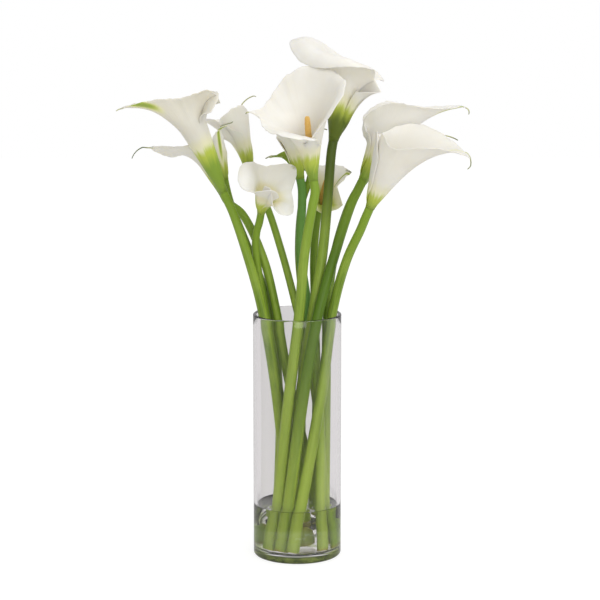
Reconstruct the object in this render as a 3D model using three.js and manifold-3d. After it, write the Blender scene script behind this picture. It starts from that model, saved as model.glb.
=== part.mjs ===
// A bunch of calla lilies standing in a clear glass cylinder vase with some water.
// Millimetres, +Z up, +X to the right, +Y away from the front. The origin is the
// middle of the vase's underside.
import * as THREE from 'three';
import { mergeVertices } from 'three/addons/utils/BufferGeometryUtils.js';
import Module from 'manifold-3d';

// ---------------------------------------------------------------- vase and water
const VASE_RADIUS = 50;
const VASE_HEIGHT = 280;
const GLASS_WALL = 4;
const GLASS_BASE = 10;
const RIM_ROUND = 1.5;
const FOOT_ROUND = 4;
const WATER_LEVEL = 58;
const VASE_SEGMENTS = 48;
const GAP = 0.3; // clearance between neighbouring pieces
const HOLE_GAP = 0.6; // clearance round a stem in the water
const HOLE_STEPS = 4;
const HOLE_SIDES = 10;

// ---------------------------------------------------------------- flowers in general
const SHEET = 1.1; // thickness of a spathe
const STEM_SIDES = 8;
const STEM_STEPS = 16;
const NECK = 14; // straight end of a stem below its flower
const SPADIX_RADIUS = 3.4;
const SPADIX_CLEAR = 1.6; // least difference between the radii of a stem and its spadix
const SPADIX_FOOT = 0.7; // share of the radius at its foot
const SPADIX_THICK = 0.25; // share of its length at which it is thickest
const SPADIX_SIDES = 8;
const SPADIX_STEPS = 6;
const MERIDIAN_STEPS = 48; // steps in which a meridian of a spathe is summed up

// What a spathe has unless its flower says otherwise. Lengths run along the sheet from
// the stem, angles are between the sheet and the flower's axis, and the front is the
// side where the two margins overlap, opposite the tip.
const SPATHE = {
  columns: 16,
  rows: 10,
  lobes: 0, // lobes all round and the share of the length that their hollows take away
  lobeDepth: 0,
  tube: 38, // straight lower part
  funnel: 10, // angle of the tube's wall
  front: 85, // length at the front
  back: 100, // length on the tip's side, without the tip
  side: 0, // extra length left and right
  lop: 0, // length by which the left side is longer than the middle, and the right shorter
  flareFront: 50, // angle reached at the rim
  flareBack: 75,
  flareSide: 0,
  flareLop: 0,
  rise: 1.3, // how late the flare comes
  curlFront: 0, // extra angle of the rolled margin
  curlBack: 0,
  curlSide: 0,
  curlLength: 16,
  tip: 28, // length of the point
  tipWidth: 15, // degrees over which the point fades
  tipCurl: 0,
  swing: 0, // sideways turn of the point
  awn: 12, // thread at the end of the point
  wave: 0, // height of the rim's waves, and their turn in degrees
  waveTurn: 0,
  overlap: 30, // degrees by which the margins overlap
  cut: 0.3, // share of the length that the rounding of the free corners takes off
  skew: 0, // degrees the tip is turned round from the place opposite the overlap
  bend: 0, // curve of the whole flower, towards bendTo from the tip
  bendTo: 0,
  spadix: 52,
};
const TUBE_TURN = 175; // half turn of the tube before its margins overlap
const MARGIN_GAP = 2.6; // space between the two margins where they overlap
const WAVES = 3; // number of the rim's waves all round
const AWN_WIDTH = 4; // degrees
const POINT_WIDTH = 14; // degrees that bend with the point
const BACK_POWER = 0.9; // how the length goes over from the front to the back
const MARGIN_FROM = 0.8; // share of the half turn past which the free corners are rounded
const CURL_POWER = 1.2; // how late the margin's roll comes
const OVERLAP_FROM = 0.08; // share of the length where the margins start to overlap
const OVERLAP_OVER = 0.35; // share of the length over which their overlap grows
const SPREAD_OVER = 0.12; // share of the length over which the margins part
const BASE_LIFT = 0.5; // height at which a spathe starts above the end of its stem
const COLUMN_GATHER = 1.8; // columns crowd towards the tip
const ROW_GATHER = 0.8; // rows crowd towards the rim

// ---------------------------------------------------------------- the flowers
// stem: points from the foot to the flower. radii: of the stem at its foot and top.
// lean, leanTo: tilt of the flower and its compass direction, counted from +X to +Y.
// tipTo: compass direction of the tip.
const FLOWERS = [
  {
    name: 'left_high', radii: [6.6, 4.8],
    stem: [[-14, 6.5, 12], [-18.5, 3, 140], [-39, -2.5, 282],
      [-58, -2.5, 353], [-72.5, -5, 397], [-83, -8, 421]],
    lean: 25, leanTo: -156, tipTo: -199, skew: 36, bend: 3, bendTo: 10,
    front: 130, back: 140, side: -20, lop: 3, tube: 78, funnel: 7, rise: 0.5, cut: 0.16,
    flareFront: 31, flareBack: 37, flareSide: -34, flareLop: -19, curlFront: 77, curlBack: 24,
    curlLength: 32,
    tip: 18, tipWidth: 32, tipCurl: 20, awn: 1, wave: 1.8, waveTurn: 47,
  },
  {
    name: 'left_low', radii: [6.2, 4.5],
    stem: [[34.5, 4, 12], [-11.5, 14, 209], [-25, 14.5, 286],
      [-38.5, 14, 341], [-62, 15.5, 391], [-85, 21, 416]],
    lean: 32, leanTo: 157, tipTo: -179, skew: 21, bend: 9, bendTo: 40,
    front: 75, back: 93, side: -13, tube: 35, funnel: 4, rise: 0.9,
    flareFront: 18, flareBack: 68, flareSide: 23, flareLop: 2, curlFront: 34, curlBack: -8, curlSide: 8,
    curlLength: 17,
    tip: 7, tipWidth: 13, tipCurl: -14, swing: 2, awn: 16, wave: 5, waveTurn: 55,
  },
  {
    name: 'left_back', radii: [5.6, 3.8], columns: 12, rows: 8,
    stem: [[-24.5, 27, 12], [-21, 29.5, 173], [-32, 26, 284],
      [-54, 27, 347], [-74, 28.5, 398], [-82, 31, 430]],
    lean: 13, leanTo: 156, tipTo: -122, skew: 66, bend: 6, bendTo: 177,
    front: 55, back: 55, side: -22, tube: 25, funnel: 7,
    flareFront: 1, flareBack: 5, flareSide: -33, flareLop: -18, curlFront: 10, curlBack: 3, curlSide: 5,
    curlLength: 15,
    tip: 4, tipWidth: 29, tipCurl: -50, swing: 15, awn: 0, wave: -1.5, waveTurn: -16, spadix: 28,
  },
  {
    name: 'left_middle', radii: [5.0, 3.9], columns: 12, rows: 8,
    stem: [[36, -8.5, 12], [19, 5.5, 195], [-0.5, 15, 282],
      [-18.5, 31.5, 348], [-36.5, 46.5, 399], [-54, 52, 435]],
    lean: 12, leanTo: 155, tipTo: 65, skew: -74, bend: 11, bendTo: 42,
    front: 69, back: 41, side: 23, lop: 3, tube: 15, rise: 0.8,
    flareFront: 58, flareBack: 5, flareSide: 10, flareLop: -9, curlFront: 3, curlBack: -19, curlSide: 1,
    curlLength: 25,
    tip: 32, tipWidth: 12, tipCurl: 106, swing: -2, awn: 21, wave: -0.5, waveTurn: -86, spadix: 36,
  },
  {
    name: 'centre_front', radii: [7.2, 5.0],
    stem: [[-26, -11.5, 12], [-10.5, -17, 174], [2.5, -22, 285],
      [8, -28, 350], [17, -31.5, 406], [18, -30, 436]],
    lean: 9, leanTo: 147, tipTo: 98, skew: 76, bend: 32, bendTo: 180,
    front: 71, back: 86, side: 24, lop: -14, tube: 26, funnel: 12,
    flareFront: 36, flareBack: 77, flareSide: 1, flareLop: 20, curlFront: 29, curlBack: -20,
    curlSide: 28, curlLength: 14,
    tip: 26, tipWidth: 12, tipCurl: 56, swing: -9, awn: 7, wave: -5, waveTurn: -109, spadix: 72,
  },
  {
    name: 'centre_top', radii: [6.8, 5.3],
    stem: [[-12, -7, 12], [3.5, -11, 182], [18, -9.5, 283],
      [28, -1.5, 344], [34.5, 12.5, 410], [41, 21.5, 475]],
    lean: 10, leanTo: 11, tipTo: 150, skew: -2, bend: 2, bendTo: -3,
    front: 90, back: 130, side: 4, lop: 6, tube: 84, funnel: 12, rise: 1.1,
    flareFront: 14, flareBack: 96, flareSide: 25, flareLop: -11, curlFront: 32, curlBack: 18,
    curlSide: 88, curlLength: 42,
    tip: 17, tipWidth: 39, tipCurl: -29, swing: -9, awn: 8, wave: 5, waveTurn: 74,
  },
  {
    name: 'centre_small', radii: [6.0, 4.2],
    stem: [[7.5, 17, 12], [-17, 16, 162], [-36, 13.5, 280],
      [-46.5, 5, 347], [-45.5, -1.5, 373], [-40, -10, 397]],
    lean: 22, leanTo: -63, tipTo: 85, skew: -16, bend: 43, bendTo: -97,
    front: 61, back: 64, side: -10, lop: 6, lobes: 4, lobeDepth: 0.3, tube: 17, funnel: 22, rise: 1.6,
    flareFront: 30, flareBack: 45, flareSide: 30, flareLop: -6, curlFront: 1, curlBack: -16,
    curlSide: 65, curlLength: 35,
    tip: 2, tipWidth: 22, awn: 0, wave: -5, waveTurn: 94, spadix: 22,
  },
  {
    name: 'centre_back', radii: [6.2, 4.8], columns: 12, rows: 8,
    stem: [[25.5, -22.5, 12], [24, -6, 181], [12.5, 5, 281],
      [3.5, 15, 350], [5.5, 22.5, 401], [3, 24, 432]],
    lean: 10, leanTo: 173, tipTo: -6, skew: 12, bend: 9, bendTo: -108,
    front: 54, back: 56, side: -2, lop: -5, tube: 25, funnel: 9, rise: 1.2,
    flareFront: 25, flareBack: 79, flareSide: -13, flareLop: 4, curlBack: 5, curlSide: 1,
    curlLength: 22,
    tip: 8, tipWidth: 11, tipCurl: 36, swing: -1, awn: 5, spadix: 36,
  },
  {
    name: 'centre_right', radii: [6.0, 4.2], columns: 12, rows: 8,
    stem: [[18, 31.5, 12], [22.5, 16, 175], [20, 21, 289], [19, 33, 340], [22, 40, 376], [26, 40, 397]],
    lean: 12, leanTo: -6, tipTo: 12, skew: 11, bend: 5, bendTo: -94,
    front: 53, back: 47, side: -15, lop: 14, tube: 28, funnel: 19, rise: 1.1,
    flareFront: 35, flareBack: 46, flareSide: 24, flareLop: -11, curlFront: 39, curlBack: -11,
    curlSide: 51, curlLength: 15,
    tip: 5, tipWidth: 26, tipCurl: 118, swing: -14, awn: 0, wave: -2.2, waveTurn: 6, spadix: 30,
  },
  {
    name: 'right_high', radii: [7.2, 5.2],
    stem: [[-15.5, -22, 12], [7, -24, 191], [24, -20.5, 285],
      [42, -8.5, 348], [61, 6.5, 404], [75, 12, 432]],
    lean: 28, leanTo: 17, tipTo: 13, skew: -14,
    front: 69, back: 124, side: -6, tube: 25, funnel: 12, rise: 1.8,
    flareFront: 62, flareBack: 53, flareSide: -32, flareLop: -6, curlBack: 3, curlSide: 22,
    curlLength: 15,
    tip: 19, tipWidth: 26, tipCurl: 87, swing: 10, awn: 6, wave: -5, waveTurn: -64,
  },
  {
    name: 'right_front', radii: [6.8, 4.9],
    stem: [[-5, -33, 12], [26.5, -18, 189], [40, -10.5, 285],
      [55.5, -22.5, 345], [70.5, -33.5, 380.5], [81, -40, 407]],
    lean: 25, leanTo: -27, tipTo: 14, skew: -14, bend: 4, bendTo: -40,
    front: 84, back: 125, side: -19, lop: -2, tube: 16, funnel: 16, rise: 2,
    flareFront: 15, flareBack: 67, flareSide: -20, flareLop: 6, curlBack: 17, curlSide: 7,
    curlLength: 14,
    tip: 6, tipWidth: 25, tipCurl: 111, swing: -10, awn: 9, wave: -4, waveTurn: 91,
  },
  {
    name: 'right_back', radii: [6.2, 4.7], columns: 12, rows: 8,
    stem: [[32, 19, 12], [33.5, 11.5, 188], [35, 19.5, 278],
      [41, 37, 334], [59.5, 60.5, 394], [81, 67, 428]],
    lean: 37, leanTo: -3, tipTo: -11, skew: -8,
    front: 74, back: 79, side: -5, lop: 3, tube: 30, funnel: 6, rise: 1.6,
    flareFront: 78, flareBack: 52, flareSide: -23, curlFront: 33, curlBack: -9, curlSide: 21,
    curlLength: 27,
    tip: 27, tipWidth: 22, tipCurl: 37, swing: -4, awn: 14, wave: 1.9, waveTurn: -22, spadix: 36,
  },
  {
    name: 'centre_bud', radii: [5.4, 3.8], columns: 10, rows: 6, overlap: 0,
    stem: [[6, 33, 12], [5, 27, 174], [6.5, 23.5, 278], [1.5, 28, 348], [5, 33, 399], [3, 36, 443]],
    lean: 71, leanTo: 154, tipTo: -146, skew: 80, bend: 10, bendTo: 9,
    front: 23, back: 17, lop: 6, tube: 3, funnel: 4,
    flareFront: 48, flareBack: 6, flareSide: 19, flareLop: 8, curlFront: 90, curlBack: -12,
    curlSide: 31,
    tip: 20, tipWidth: 20, tipCurl: -21, swing: -5, awn: 2, wave: -4.3, waveTurn: 99, spadix: 0,
  },
];

// ---------------------------------------------------------------- helpers
const radians = THREE.MathUtils.degToRad;
const clamp01 = (x) => THREE.MathUtils.clamp(x, 0, 1);
const smooth = (x) => THREE.MathUtils.smoothstep(x, 0, 1);

/** Unit vector that leans away from the vertical towards a compass direction. */
function leaning(lean, leanTo) {
  const turn = radians(leanTo);
  const out = Math.sin(radians(lean));
  return new THREE.Vector3(out * Math.cos(turn), out * Math.sin(turn), Math.cos(radians(lean)));
}

/** A mesh with its name and a plain material. */
function part(name, geometry, finish) {
  geometry.computeVertexNormals();
  const mesh = new THREE.Mesh(geometry, new THREE.MeshStandardMaterial(finish));
  mesh.name = name;
  return mesh;
}

/** Geometry with shared vertices merged and only its positions left. */
function merged(geometry) {
  geometry.deleteAttribute('normal');
  geometry.deleteAttribute('uv');
  return mergeVertices(geometry, 1e-4);
}

/** A ring or cup turned round Z, from a closed profile of [radius, height] points. */
function turned(profile, segments) {
  const points = profile.map(([radius, height]) => new THREE.Vector2(radius, height));
  return merged(new THREE.LatheGeometry(points, segments)).rotateX(Math.PI / 2);
}

/** The points of a quarter round from one angle to another about [x, y]. */
function quarterRound(x, y, radius, from, steps = 2) {
  return Array.from({ length: steps + 1 }, (_, i) => {
    const angle = radians(from + (90 * i) / steps);
    return [x + radius * Math.cos(angle), y + radius * Math.sin(angle)];
  });
}

// ---------------------------------------------------------------- vase
/** Glass cylinder with a thick flat base, a rounded foot edge and a rounded rim. */
function vaseGeometry() {
  const inner = VASE_RADIUS - GLASS_WALL;
  const rimMiddle = VASE_RADIUS - GLASS_WALL / 2;
  const rimRound = (x, from) => quarterRound(x, VASE_HEIGHT - RIM_ROUND, RIM_ROUND, from);
  return turned([
    [0, 0],
    ...quarterRound(VASE_RADIUS - FOOT_ROUND, FOOT_ROUND, FOOT_ROUND, -90),
    ...rimRound(VASE_RADIUS - RIM_ROUND, 0),
    [rimMiddle, VASE_HEIGHT],
    ...rimRound(inner + RIM_ROUND, 90),
    [inner, GLASS_BASE],
    [0, GLASS_BASE],
  ], VASE_SEGMENTS);
}

// ---------------------------------------------------------------- stems
/** Centre line of a flower's stem, which ends straight along the flower's axis. */
function stemCurve(flower) {
  const points = flower.stem.map((p) => new THREE.Vector3(...p));
  const top = points.at(-1);
  const neck = top.clone().addScaledVector(leaning(flower.lean, flower.leanTo), -NECK);
  points.splice(-1, 0, neck);
  return new THREE.CatmullRomCurve3(points);
}

/** Solid rod along a curve, whose radius runs evenly from its foot to its top. */
function rod(curve, [footRadius, topRadius], steps, sides) {
  const geometry = new THREE.CylinderGeometry(topRadius, footRadius, 1, sides, steps);
  const frames = curve.computeFrenetFrames(steps, false);
  const spots = curve.getSpacedPoints(steps);
  const position = geometry.attributes.position;
  const vertex = new THREE.Vector3();
  for (let i = 0; i < position.count; i++) {
    vertex.fromBufferAttribute(position, i);
    const step = Math.round((vertex.y + 0.5) * steps);
    const [across, along] = [vertex.x, vertex.z];
    vertex.copy(spots[step])
      .addScaledVector(frames.normals[step], across)
      .addScaledVector(frames.binormals[step], -along);
    position.setXYZ(i, vertex.x, vertex.y, vertex.z);
  }
  return merged(geometry);
}

// ---------------------------------------------------------------- spathes
/** Length, angles and shape of one meridian of a spathe, at `round` degrees from the tip. */
function meridian(flower, round) {
  const away = Math.abs(round);
  const back = (1 + Math.cos(radians(away))) / 2;
  const side = Math.sin(radians(away)) ** 2;
  const mix = (front, rear, sides) => front + (rear - front) * back + sides * side;
  const lop = Math.sin(radians(round));
  const hollow = flower.lobeDepth * (1 - Math.cos(radians(flower.lobes * away))) / 2;
  const corner = flower.cut * smooth((away / 180 - MARGIN_FROM) / (1 - MARGIN_FROM));
  const limb = (flower.front + (flower.back - flower.front) * back ** BACK_POWER
    + flower.side * side + flower.lop * lop) * (1 - hollow) * (1 - corner);
  const awn = flower.awn * clamp01(1 - away / AWN_WIDTH);
  const length = limb + flower.tip * Math.exp(-away / flower.tipWidth) + awn;
  const flare = mix(flower.flareFront, flower.flareBack, flower.flareSide)
    + flower.flareLop * lop - flower.funnel;
  const curl = mix(flower.curlFront, flower.curlBack, flower.curlSide);
  const point = Math.exp(-((away / POINT_WIDTH) ** 2));
  const pointLength = flower.tip / 2 + flower.awn;
  const pointShare = (s) => clamp01((s - length + pointLength) / pointLength);
  const angle = (s) => {
    const open = clamp01((s - flower.tube) / (limb - flower.tube)) ** flower.rise;
    const roll = clamp01((s - limb + flower.curlLength) / flower.curlLength) ** CURL_POWER;
    const wide = flower.funnel + flare * open + curl * roll;
    return radians(wide + flower.tipCurl * point * pointShare(s));
  };
  const step = length / MERIDIAN_STEPS;
  const outline = [[flower.radii[1], BASE_LIFT]];
  for (let i = 0; i < MERIDIAN_STEPS; i++) {
    const [radius, height] = outline[i];
    const slope = angle((i + 0.5) * step);
    outline.push([radius + Math.sin(slope) * step, height + Math.cos(slope) * step]);
  }
  return { length, outline, swing: (s) => flower.swing * point * pointShare(s) ** 2 };
}

/** A point of a meridian's outline at share `t` of its length. */
function onOutline(outline, t) {
  const place = t * MERIDIAN_STEPS;
  const i = Math.min(Math.floor(place), MERIDIAN_STEPS - 1);
  const [a, b] = [outline[i], outline[i + 1]];
  return [0, 1].map((k) => THREE.MathUtils.lerp(a[k], b[k], place - i));
}

/** Curves a point of an upright flower towards bendTo. */
function bent(flower, point) {
  if (flower.bend === 0) return point;
  const turn = radians(flower.bendTo);
  const rate = radians(flower.bend) / flower.back;
  const swing = rate * point.z;
  const along = point.x * Math.cos(turn) + point.y * Math.sin(turn);
  const across = point.y * Math.cos(turn) - point.x * Math.sin(turn);
  const out = (1 - Math.cos(swing)) / rate + along * Math.cos(swing);
  const up = Math.sin(swing) / rate - along * Math.sin(swing);
  return point.set(
    out * Math.cos(turn) - across * Math.sin(turn),
    out * Math.sin(turn) + across * Math.cos(turn),
    up,
  );
}

/** Places a point of an upright flower on its stem: X towards the tip, Z along the axis. */
function flowerPlace(flower) {
  const axis = leaning(flower.lean, flower.leanTo);
  const tip = leaning(90, flower.tipTo);
  tip.addScaledVector(axis, -tip.dot(axis)).normalize();
  const sideways = new THREE.Vector3().crossVectors(axis, tip);
  const turn = new THREE.Matrix4().makeBasis(tip, sideways, axis);
  return turn.setPosition(...flower.stem.at(-1));
}

/** Middle surface of a spathe as rows of points, from the stem to the rim. */
function spatheSurface(flower) {
  const place = flowerPlace(flower);
  const shares = Array.from({ length: flower.columns + 1 }, (_, i) => {
    const u = (2 * i) / flower.columns - 1;
    return Math.sign(u) * Math.abs(u) ** COLUMN_GATHER;
  });
  const meridians = shares.map((share) => meridian(flower, 180 * share));
  return Array.from({ length: flower.rows + 1 }, (_, row) => {
    const t = (row / flower.rows) ** ROW_GATHER;
    const halfTurn = TUBE_TURN + flower.overlap * smooth((t - OVERLAP_FROM) / OVERLAP_OVER);
    const spread = MARGIN_GAP * smooth(t / SPREAD_OVER);
    return shares.map((share, column) => {
      const { length, outline, swing } = meridians[column];
      const [radius, height] = onOutline(outline, t);
      const around = share * halfTurn + flower.skew * (1 - Math.abs(share));
      const reach = radius + (spread * share) / 2;
      const x = reach * Math.cos(radians(around));
      const y = reach * Math.sin(radians(around)) + swing(t * length);
      const wave = flower.wave * Math.sin(radians(WAVES * around + flower.waveTurn));
      return bent(flower, new THREE.Vector3(x, y, height + wave * t ** 3)).applyMatrix4(place);
    });
  });
}

/** Normals of a surface given as rows of points. */
function surfaceNormals(rows) {
  const last = rows.length - 1;
  const edge = rows[0].length - 1;
  return rows.map((row, i) => row.map((_, j) => {
    const up = rows[Math.min(i + 1, last)][j].clone().sub(rows[Math.max(i - 1, 0)][j]);
    const along = row[Math.min(j + 1, edge)].clone().sub(row[Math.max(j - 1, 0)]);
    return along.cross(up).normalize();
  }));
}

/** Closed sheet of even thickness about a surface, split alike on both faces. */
function sheetGeometry(rows, thickness) {
  const normals = surfaceNormals(rows);
  const wide = rows[0].length;
  const count = rows.length * wide;
  const positions = [];
  for (const sign of [0.5, -0.5]) {
    rows.forEach((row, i) => row.forEach((point, j) => {
      positions.push(...point.clone().addScaledVector(normals[i][j], sign * thickness));
    }));
  }
  const index = [];
  const quad = (a, b, c, d) => index.push(a, b, c, a, c, d);
  for (let i = 0; i < rows.length - 1; i++) {
    for (let j = 0; j < wide - 1; j++) {
      const a = i * wide + j;
      index.push(a, a + 1, a + wide + 1, a, a + wide + 1, a + wide);
      const b = a + count;
      index.push(b, b + wide + 1, b + 1, b, b + wide, b + wide + 1);
    }
    const left = i * wide;
    quad(left, left + wide, left + wide + count, left + count);
    const right = left + wide - 1;
    quad(right, right + count, right + wide + count, right + wide);
  }
  const top = count - wide;
  for (let j = 0; j < wide - 1; j++) {
    quad(j, j + count, j + 1 + count, j + 1);
    quad(top + j, top + j + 1, top + j + 1 + count, top + j + count);
  }
  const geometry = new THREE.BufferGeometry();
  geometry.setAttribute('position', new THREE.Float32BufferAttribute(positions, 3));
  geometry.setIndex(index);
  return geometry;
}

// ---------------------------------------------------------------- spadix
/** Finger of the flower, a blunt rod that stands on the stem along the bent axis. */
function spadixGeometry(flower) {
  const place = flowerPlace(flower);
  const radius = Math.min(SPADIX_RADIUS, flower.radii[1] - SPADIX_CLEAR);
  const profile = [[0, GAP], [radius * SPADIX_FOOT, GAP]];
  for (let i = 0; i <= SPADIX_STEPS; i++) {
    const share = i / SPADIX_STEPS;
    const rise = Math.sin((share * Math.PI) / 2);
    const height = flower.spadix * THREE.MathUtils.lerp(SPADIX_THICK, 1, rise);
    profile.push([radius * Math.sqrt(1 - share ** 4), height]);
  }
  const geometry = turned(profile, SPADIX_SIDES);
  const position = geometry.attributes.position;
  const vertex = new THREE.Vector3();
  for (let i = 0; i < position.count; i++) {
    bent(flower, vertex.fromBufferAttribute(position, i)).applyMatrix4(place);
    position.setXYZ(i, vertex.x, vertex.y, vertex.z);
  }
  return geometry;
}

// ---------------------------------------------------------------- water
const wasm = await Module();
wasm.setup();

/** Solid of the boolean library from a closed geometry. */
function solid(geometry) {
  return new wasm.Manifold(new wasm.Mesh({
    numProp: 3,
    vertProperties: new Float32Array(geometry.attributes.position.array),
    triVerts: new Uint32Array(geometry.index.array),
  }));
}

/** Geometry from a solid of the boolean library. */
function fromSolid(body) {
  const { vertProperties, triVerts } = body.getMesh();
  const geometry = new THREE.BufferGeometry();
  geometry.setAttribute('position', new THREE.Float32BufferAttribute(vertProperties, 3));
  geometry.setIndex([...triVerts]);
  return geometry;
}

/** Water that fills the foot of the vase, with a plain hole round every stem. */
function waterGeometry(flowers) {
  const radius = VASE_RADIUS - GLASS_WALL - GAP;
  const floor = GLASS_BASE + GAP;
  const profile = [[0, floor], [radius, floor], [radius, WATER_LEVEL], [0, WATER_LEVEL]];
  let water = solid(turned(profile, VASE_SEGMENTS));
  for (const flower of flowers) {
    water = water.subtract(solid(stemHole(flower)));
  }
  return fromSolid(water);
}

/** The stem's foot made wider by the gap and carried on through the water's floor. */
function stemHole(flower) {
  const foot = stemCurve(flower).getSpacedPoints(STEM_STEPS).slice(0, HOLE_STEPS);
  const down = foot[0].clone().sub(foot[1]).setLength(GLASS_BASE);
  const path = new THREE.CatmullRomCurve3([foot[0].clone().add(down), ...foot]);
  const share = (HOLE_STEPS - 1) / STEM_STEPS;
  const top = THREE.MathUtils.lerp(flower.radii[0], flower.radii[1], share);
  return rod(path, [flower.radii[0] + HOLE_GAP, top + HOLE_GAP], HOLE_STEPS, HOLE_SIDES);
}

// ---------------------------------------------------------------- the bunch
const GLASS = { color: 0xdfe6e4, roughness: 0.05, metalness: 0, transparent: true, opacity: 0.3 };
const WATER = { color: 0xc9d8c0, roughness: 0.05, metalness: 0, transparent: true, opacity: 0.5 };
const STEM = { color: 0x6f9a3c, roughness: 0.5, metalness: 0 };
const PETAL = { color: 0xf4f1e6, roughness: 0.55, metalness: 0, side: THREE.DoubleSide };
const FINGER = { color: 0xe3b04a, roughness: 0.8, metalness: 0 };

const flowers = FLOWERS.map((flower) => ({ ...SPATHE, ...flower }));
const group = new THREE.Group();
group.add(part('vase', vaseGeometry(), GLASS));
group.add(part('water', waterGeometry(flowers), WATER));
for (const flower of flowers) {
  const stem = rod(stemCurve(flower), flower.radii, STEM_STEPS, STEM_SIDES);
  group.add(part(`${flower.name}_stem`, stem, STEM));
  group.add(part(`${flower.name}_spathe`, sheetGeometry(spatheSurface(flower), SHEET), PETAL));
  if (flower.spadix > 0) group.add(part(`${flower.name}_spadix`, spadixGeometry(flower), FINGER));
}

export default group;
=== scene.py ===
"""Visual model of a bunch of white calla lilies in a clear glass cylinder vase.

Twelve blooms and one bud stand with their stems' feet in a little water. Every piece
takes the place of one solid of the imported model, which is in metres, with +Z up, +X to
the right and +Y away from the front. The flowers, the vase and the water are sized in
millimetres and degrees, the same as in the part's source, and the rest in metres.
"""

import logging
import math
from dataclasses import dataclass
from enum import Enum
from typing import NamedTuple

import bpy
import numpy as np
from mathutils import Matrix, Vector

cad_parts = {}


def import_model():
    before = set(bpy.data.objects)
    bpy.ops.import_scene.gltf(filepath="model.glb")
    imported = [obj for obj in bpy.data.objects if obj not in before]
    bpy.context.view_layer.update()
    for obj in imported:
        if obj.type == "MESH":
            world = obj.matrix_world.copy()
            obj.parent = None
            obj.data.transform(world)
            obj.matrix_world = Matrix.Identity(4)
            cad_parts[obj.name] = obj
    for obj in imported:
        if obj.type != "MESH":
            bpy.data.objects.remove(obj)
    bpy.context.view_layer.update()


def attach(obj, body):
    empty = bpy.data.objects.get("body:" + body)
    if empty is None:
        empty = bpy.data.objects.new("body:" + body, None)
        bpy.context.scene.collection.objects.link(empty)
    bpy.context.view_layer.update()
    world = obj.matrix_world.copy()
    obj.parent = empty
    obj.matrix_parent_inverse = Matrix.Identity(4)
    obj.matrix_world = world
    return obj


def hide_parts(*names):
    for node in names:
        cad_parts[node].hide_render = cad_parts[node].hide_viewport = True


LOG = logging.getLogger("calla_bunch")
MM = 0.001
FULL_TURN = 2 * math.pi
ROUND_STEPS = 6  # steps of a quarter round
MIX_COLOUR_INPUTS = (0, 6, 7)  # of the Mix node, which has others for numbers
MIX_COLOUR_OUTPUT = 2
NOISE_RANGE = (0.3, 0.7)  # what a mask takes up of a noise
Colour = tuple[float, float, float]
Steps = tuple[tuple[float, float], ...]
# A size round a flower: at its front, at its back, what both sides add to that, and what is
# added at one side and taken off the other.
Round = tuple[float, float, float, float]
Face = tuple[int, ...]
Object = bpy.types.Object
Material = bpy.types.Material
Node = bpy.types.Node
Socket = bpy.types.NodeSocket
Tree = bpy.types.NodeTree
Value = Socket | float
Paint = Socket | Colour
WHITE: Colour = (1.0, 1.0, 1.0)
BLACK: Colour = (0.0, 0.0, 0.0)


# ------------------------------------------------------------------ plans
class StemKind(Enum):
    """Colour of a stem, by the name of its slot."""

    GREEN = "stem"
    BLUISH = "bluish_stem"
    DARK = "dark_stem"


@dataclass(frozen=True)
class FlowerPlan:
    """Sizes of one flower, in millimetres and degrees.

    Lengths run along the sheet from the stem, and angles are between the sheet and the
    flower's axis. The front is where the margins overlap, and the back is the tip's side.
    The keel is a green streak under the point: its place is counted from the tip, and its
    width against the usual one.
    """

    name: str
    radii: tuple[float, float]  # of the stem, at its foot and its top
    stem: list[tuple[float, float, float]]  # points of the stem's centre line
    lean: float  # lean of the flower's axis
    lean_to: float  # compass direction of the lean, from +X towards +Y
    tip_to: float  # compass direction of the tip
    tube: float = 38  # length of the closed tube
    funnel: float = 10  # angle of the tube
    limb: Round = (85, 100, 0, 0)  # length of the sheet
    lobes: int = 0  # lobes all round, if any
    lobe_depth: float = 0  # share of the length that is lost between lobes
    flare: Round = (50, 75, 0, 0)  # angle of the limb
    rise: float = 1.3  # how late the flare comes
    curl: Round = (0, 0, 0, 0)  # further angle of the margin
    curl_length: float = 16  # length over which the margin curls
    tip: float = 28  # how far the point stands out
    tip_width: float = 15  # width of the point, in degrees round the flower
    tip_curl: float = 0  # angle through which the point curls
    swing: float = 0  # how far the point swings aside
    awn: float = 12  # length of the awn
    wave: float = 0  # height of the rim's waves
    wave_turn: float = 0  # where the waves begin
    overlap: float = 30  # how far each margin goes past the front
    cut: float = 0.3  # share by which the free corners are rounded off
    skew: float = 0  # turn of the open front round the axis
    bend: float = 0  # bend of the whole flower over its length
    bend_to: float = 0  # direction of that bend, from the tip
    spadix: float = 52  # length of the finger, 0 where there is none
    green: float = 40  # length of the green foot
    keel: tuple[float, float, float] = (1, 0, 1)  # strength, place and width of the green keel
    ruffle: float = 0.4  # height of the rim's fine ruffle
    tone: float = 0  # how much paler the stem is, or deeper below 0
    hook: tuple[float, float, float] = (0.5, 0, 0)  # length, kink and turn of the awn's end
    loose: float = 0  # length of the awn that bends with its hook
    age: float = 0  # how beige the sheet is, from its age and from painted shade
    throat_shade: float = 0.15  # strength of the painted yellow shade in the throat
    olive: float = 0  # strength of the olive over the green foot
    awn_tone: float = 0.5  # how dark the awn is
    kind: StemKind = StemKind.GREEN


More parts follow.
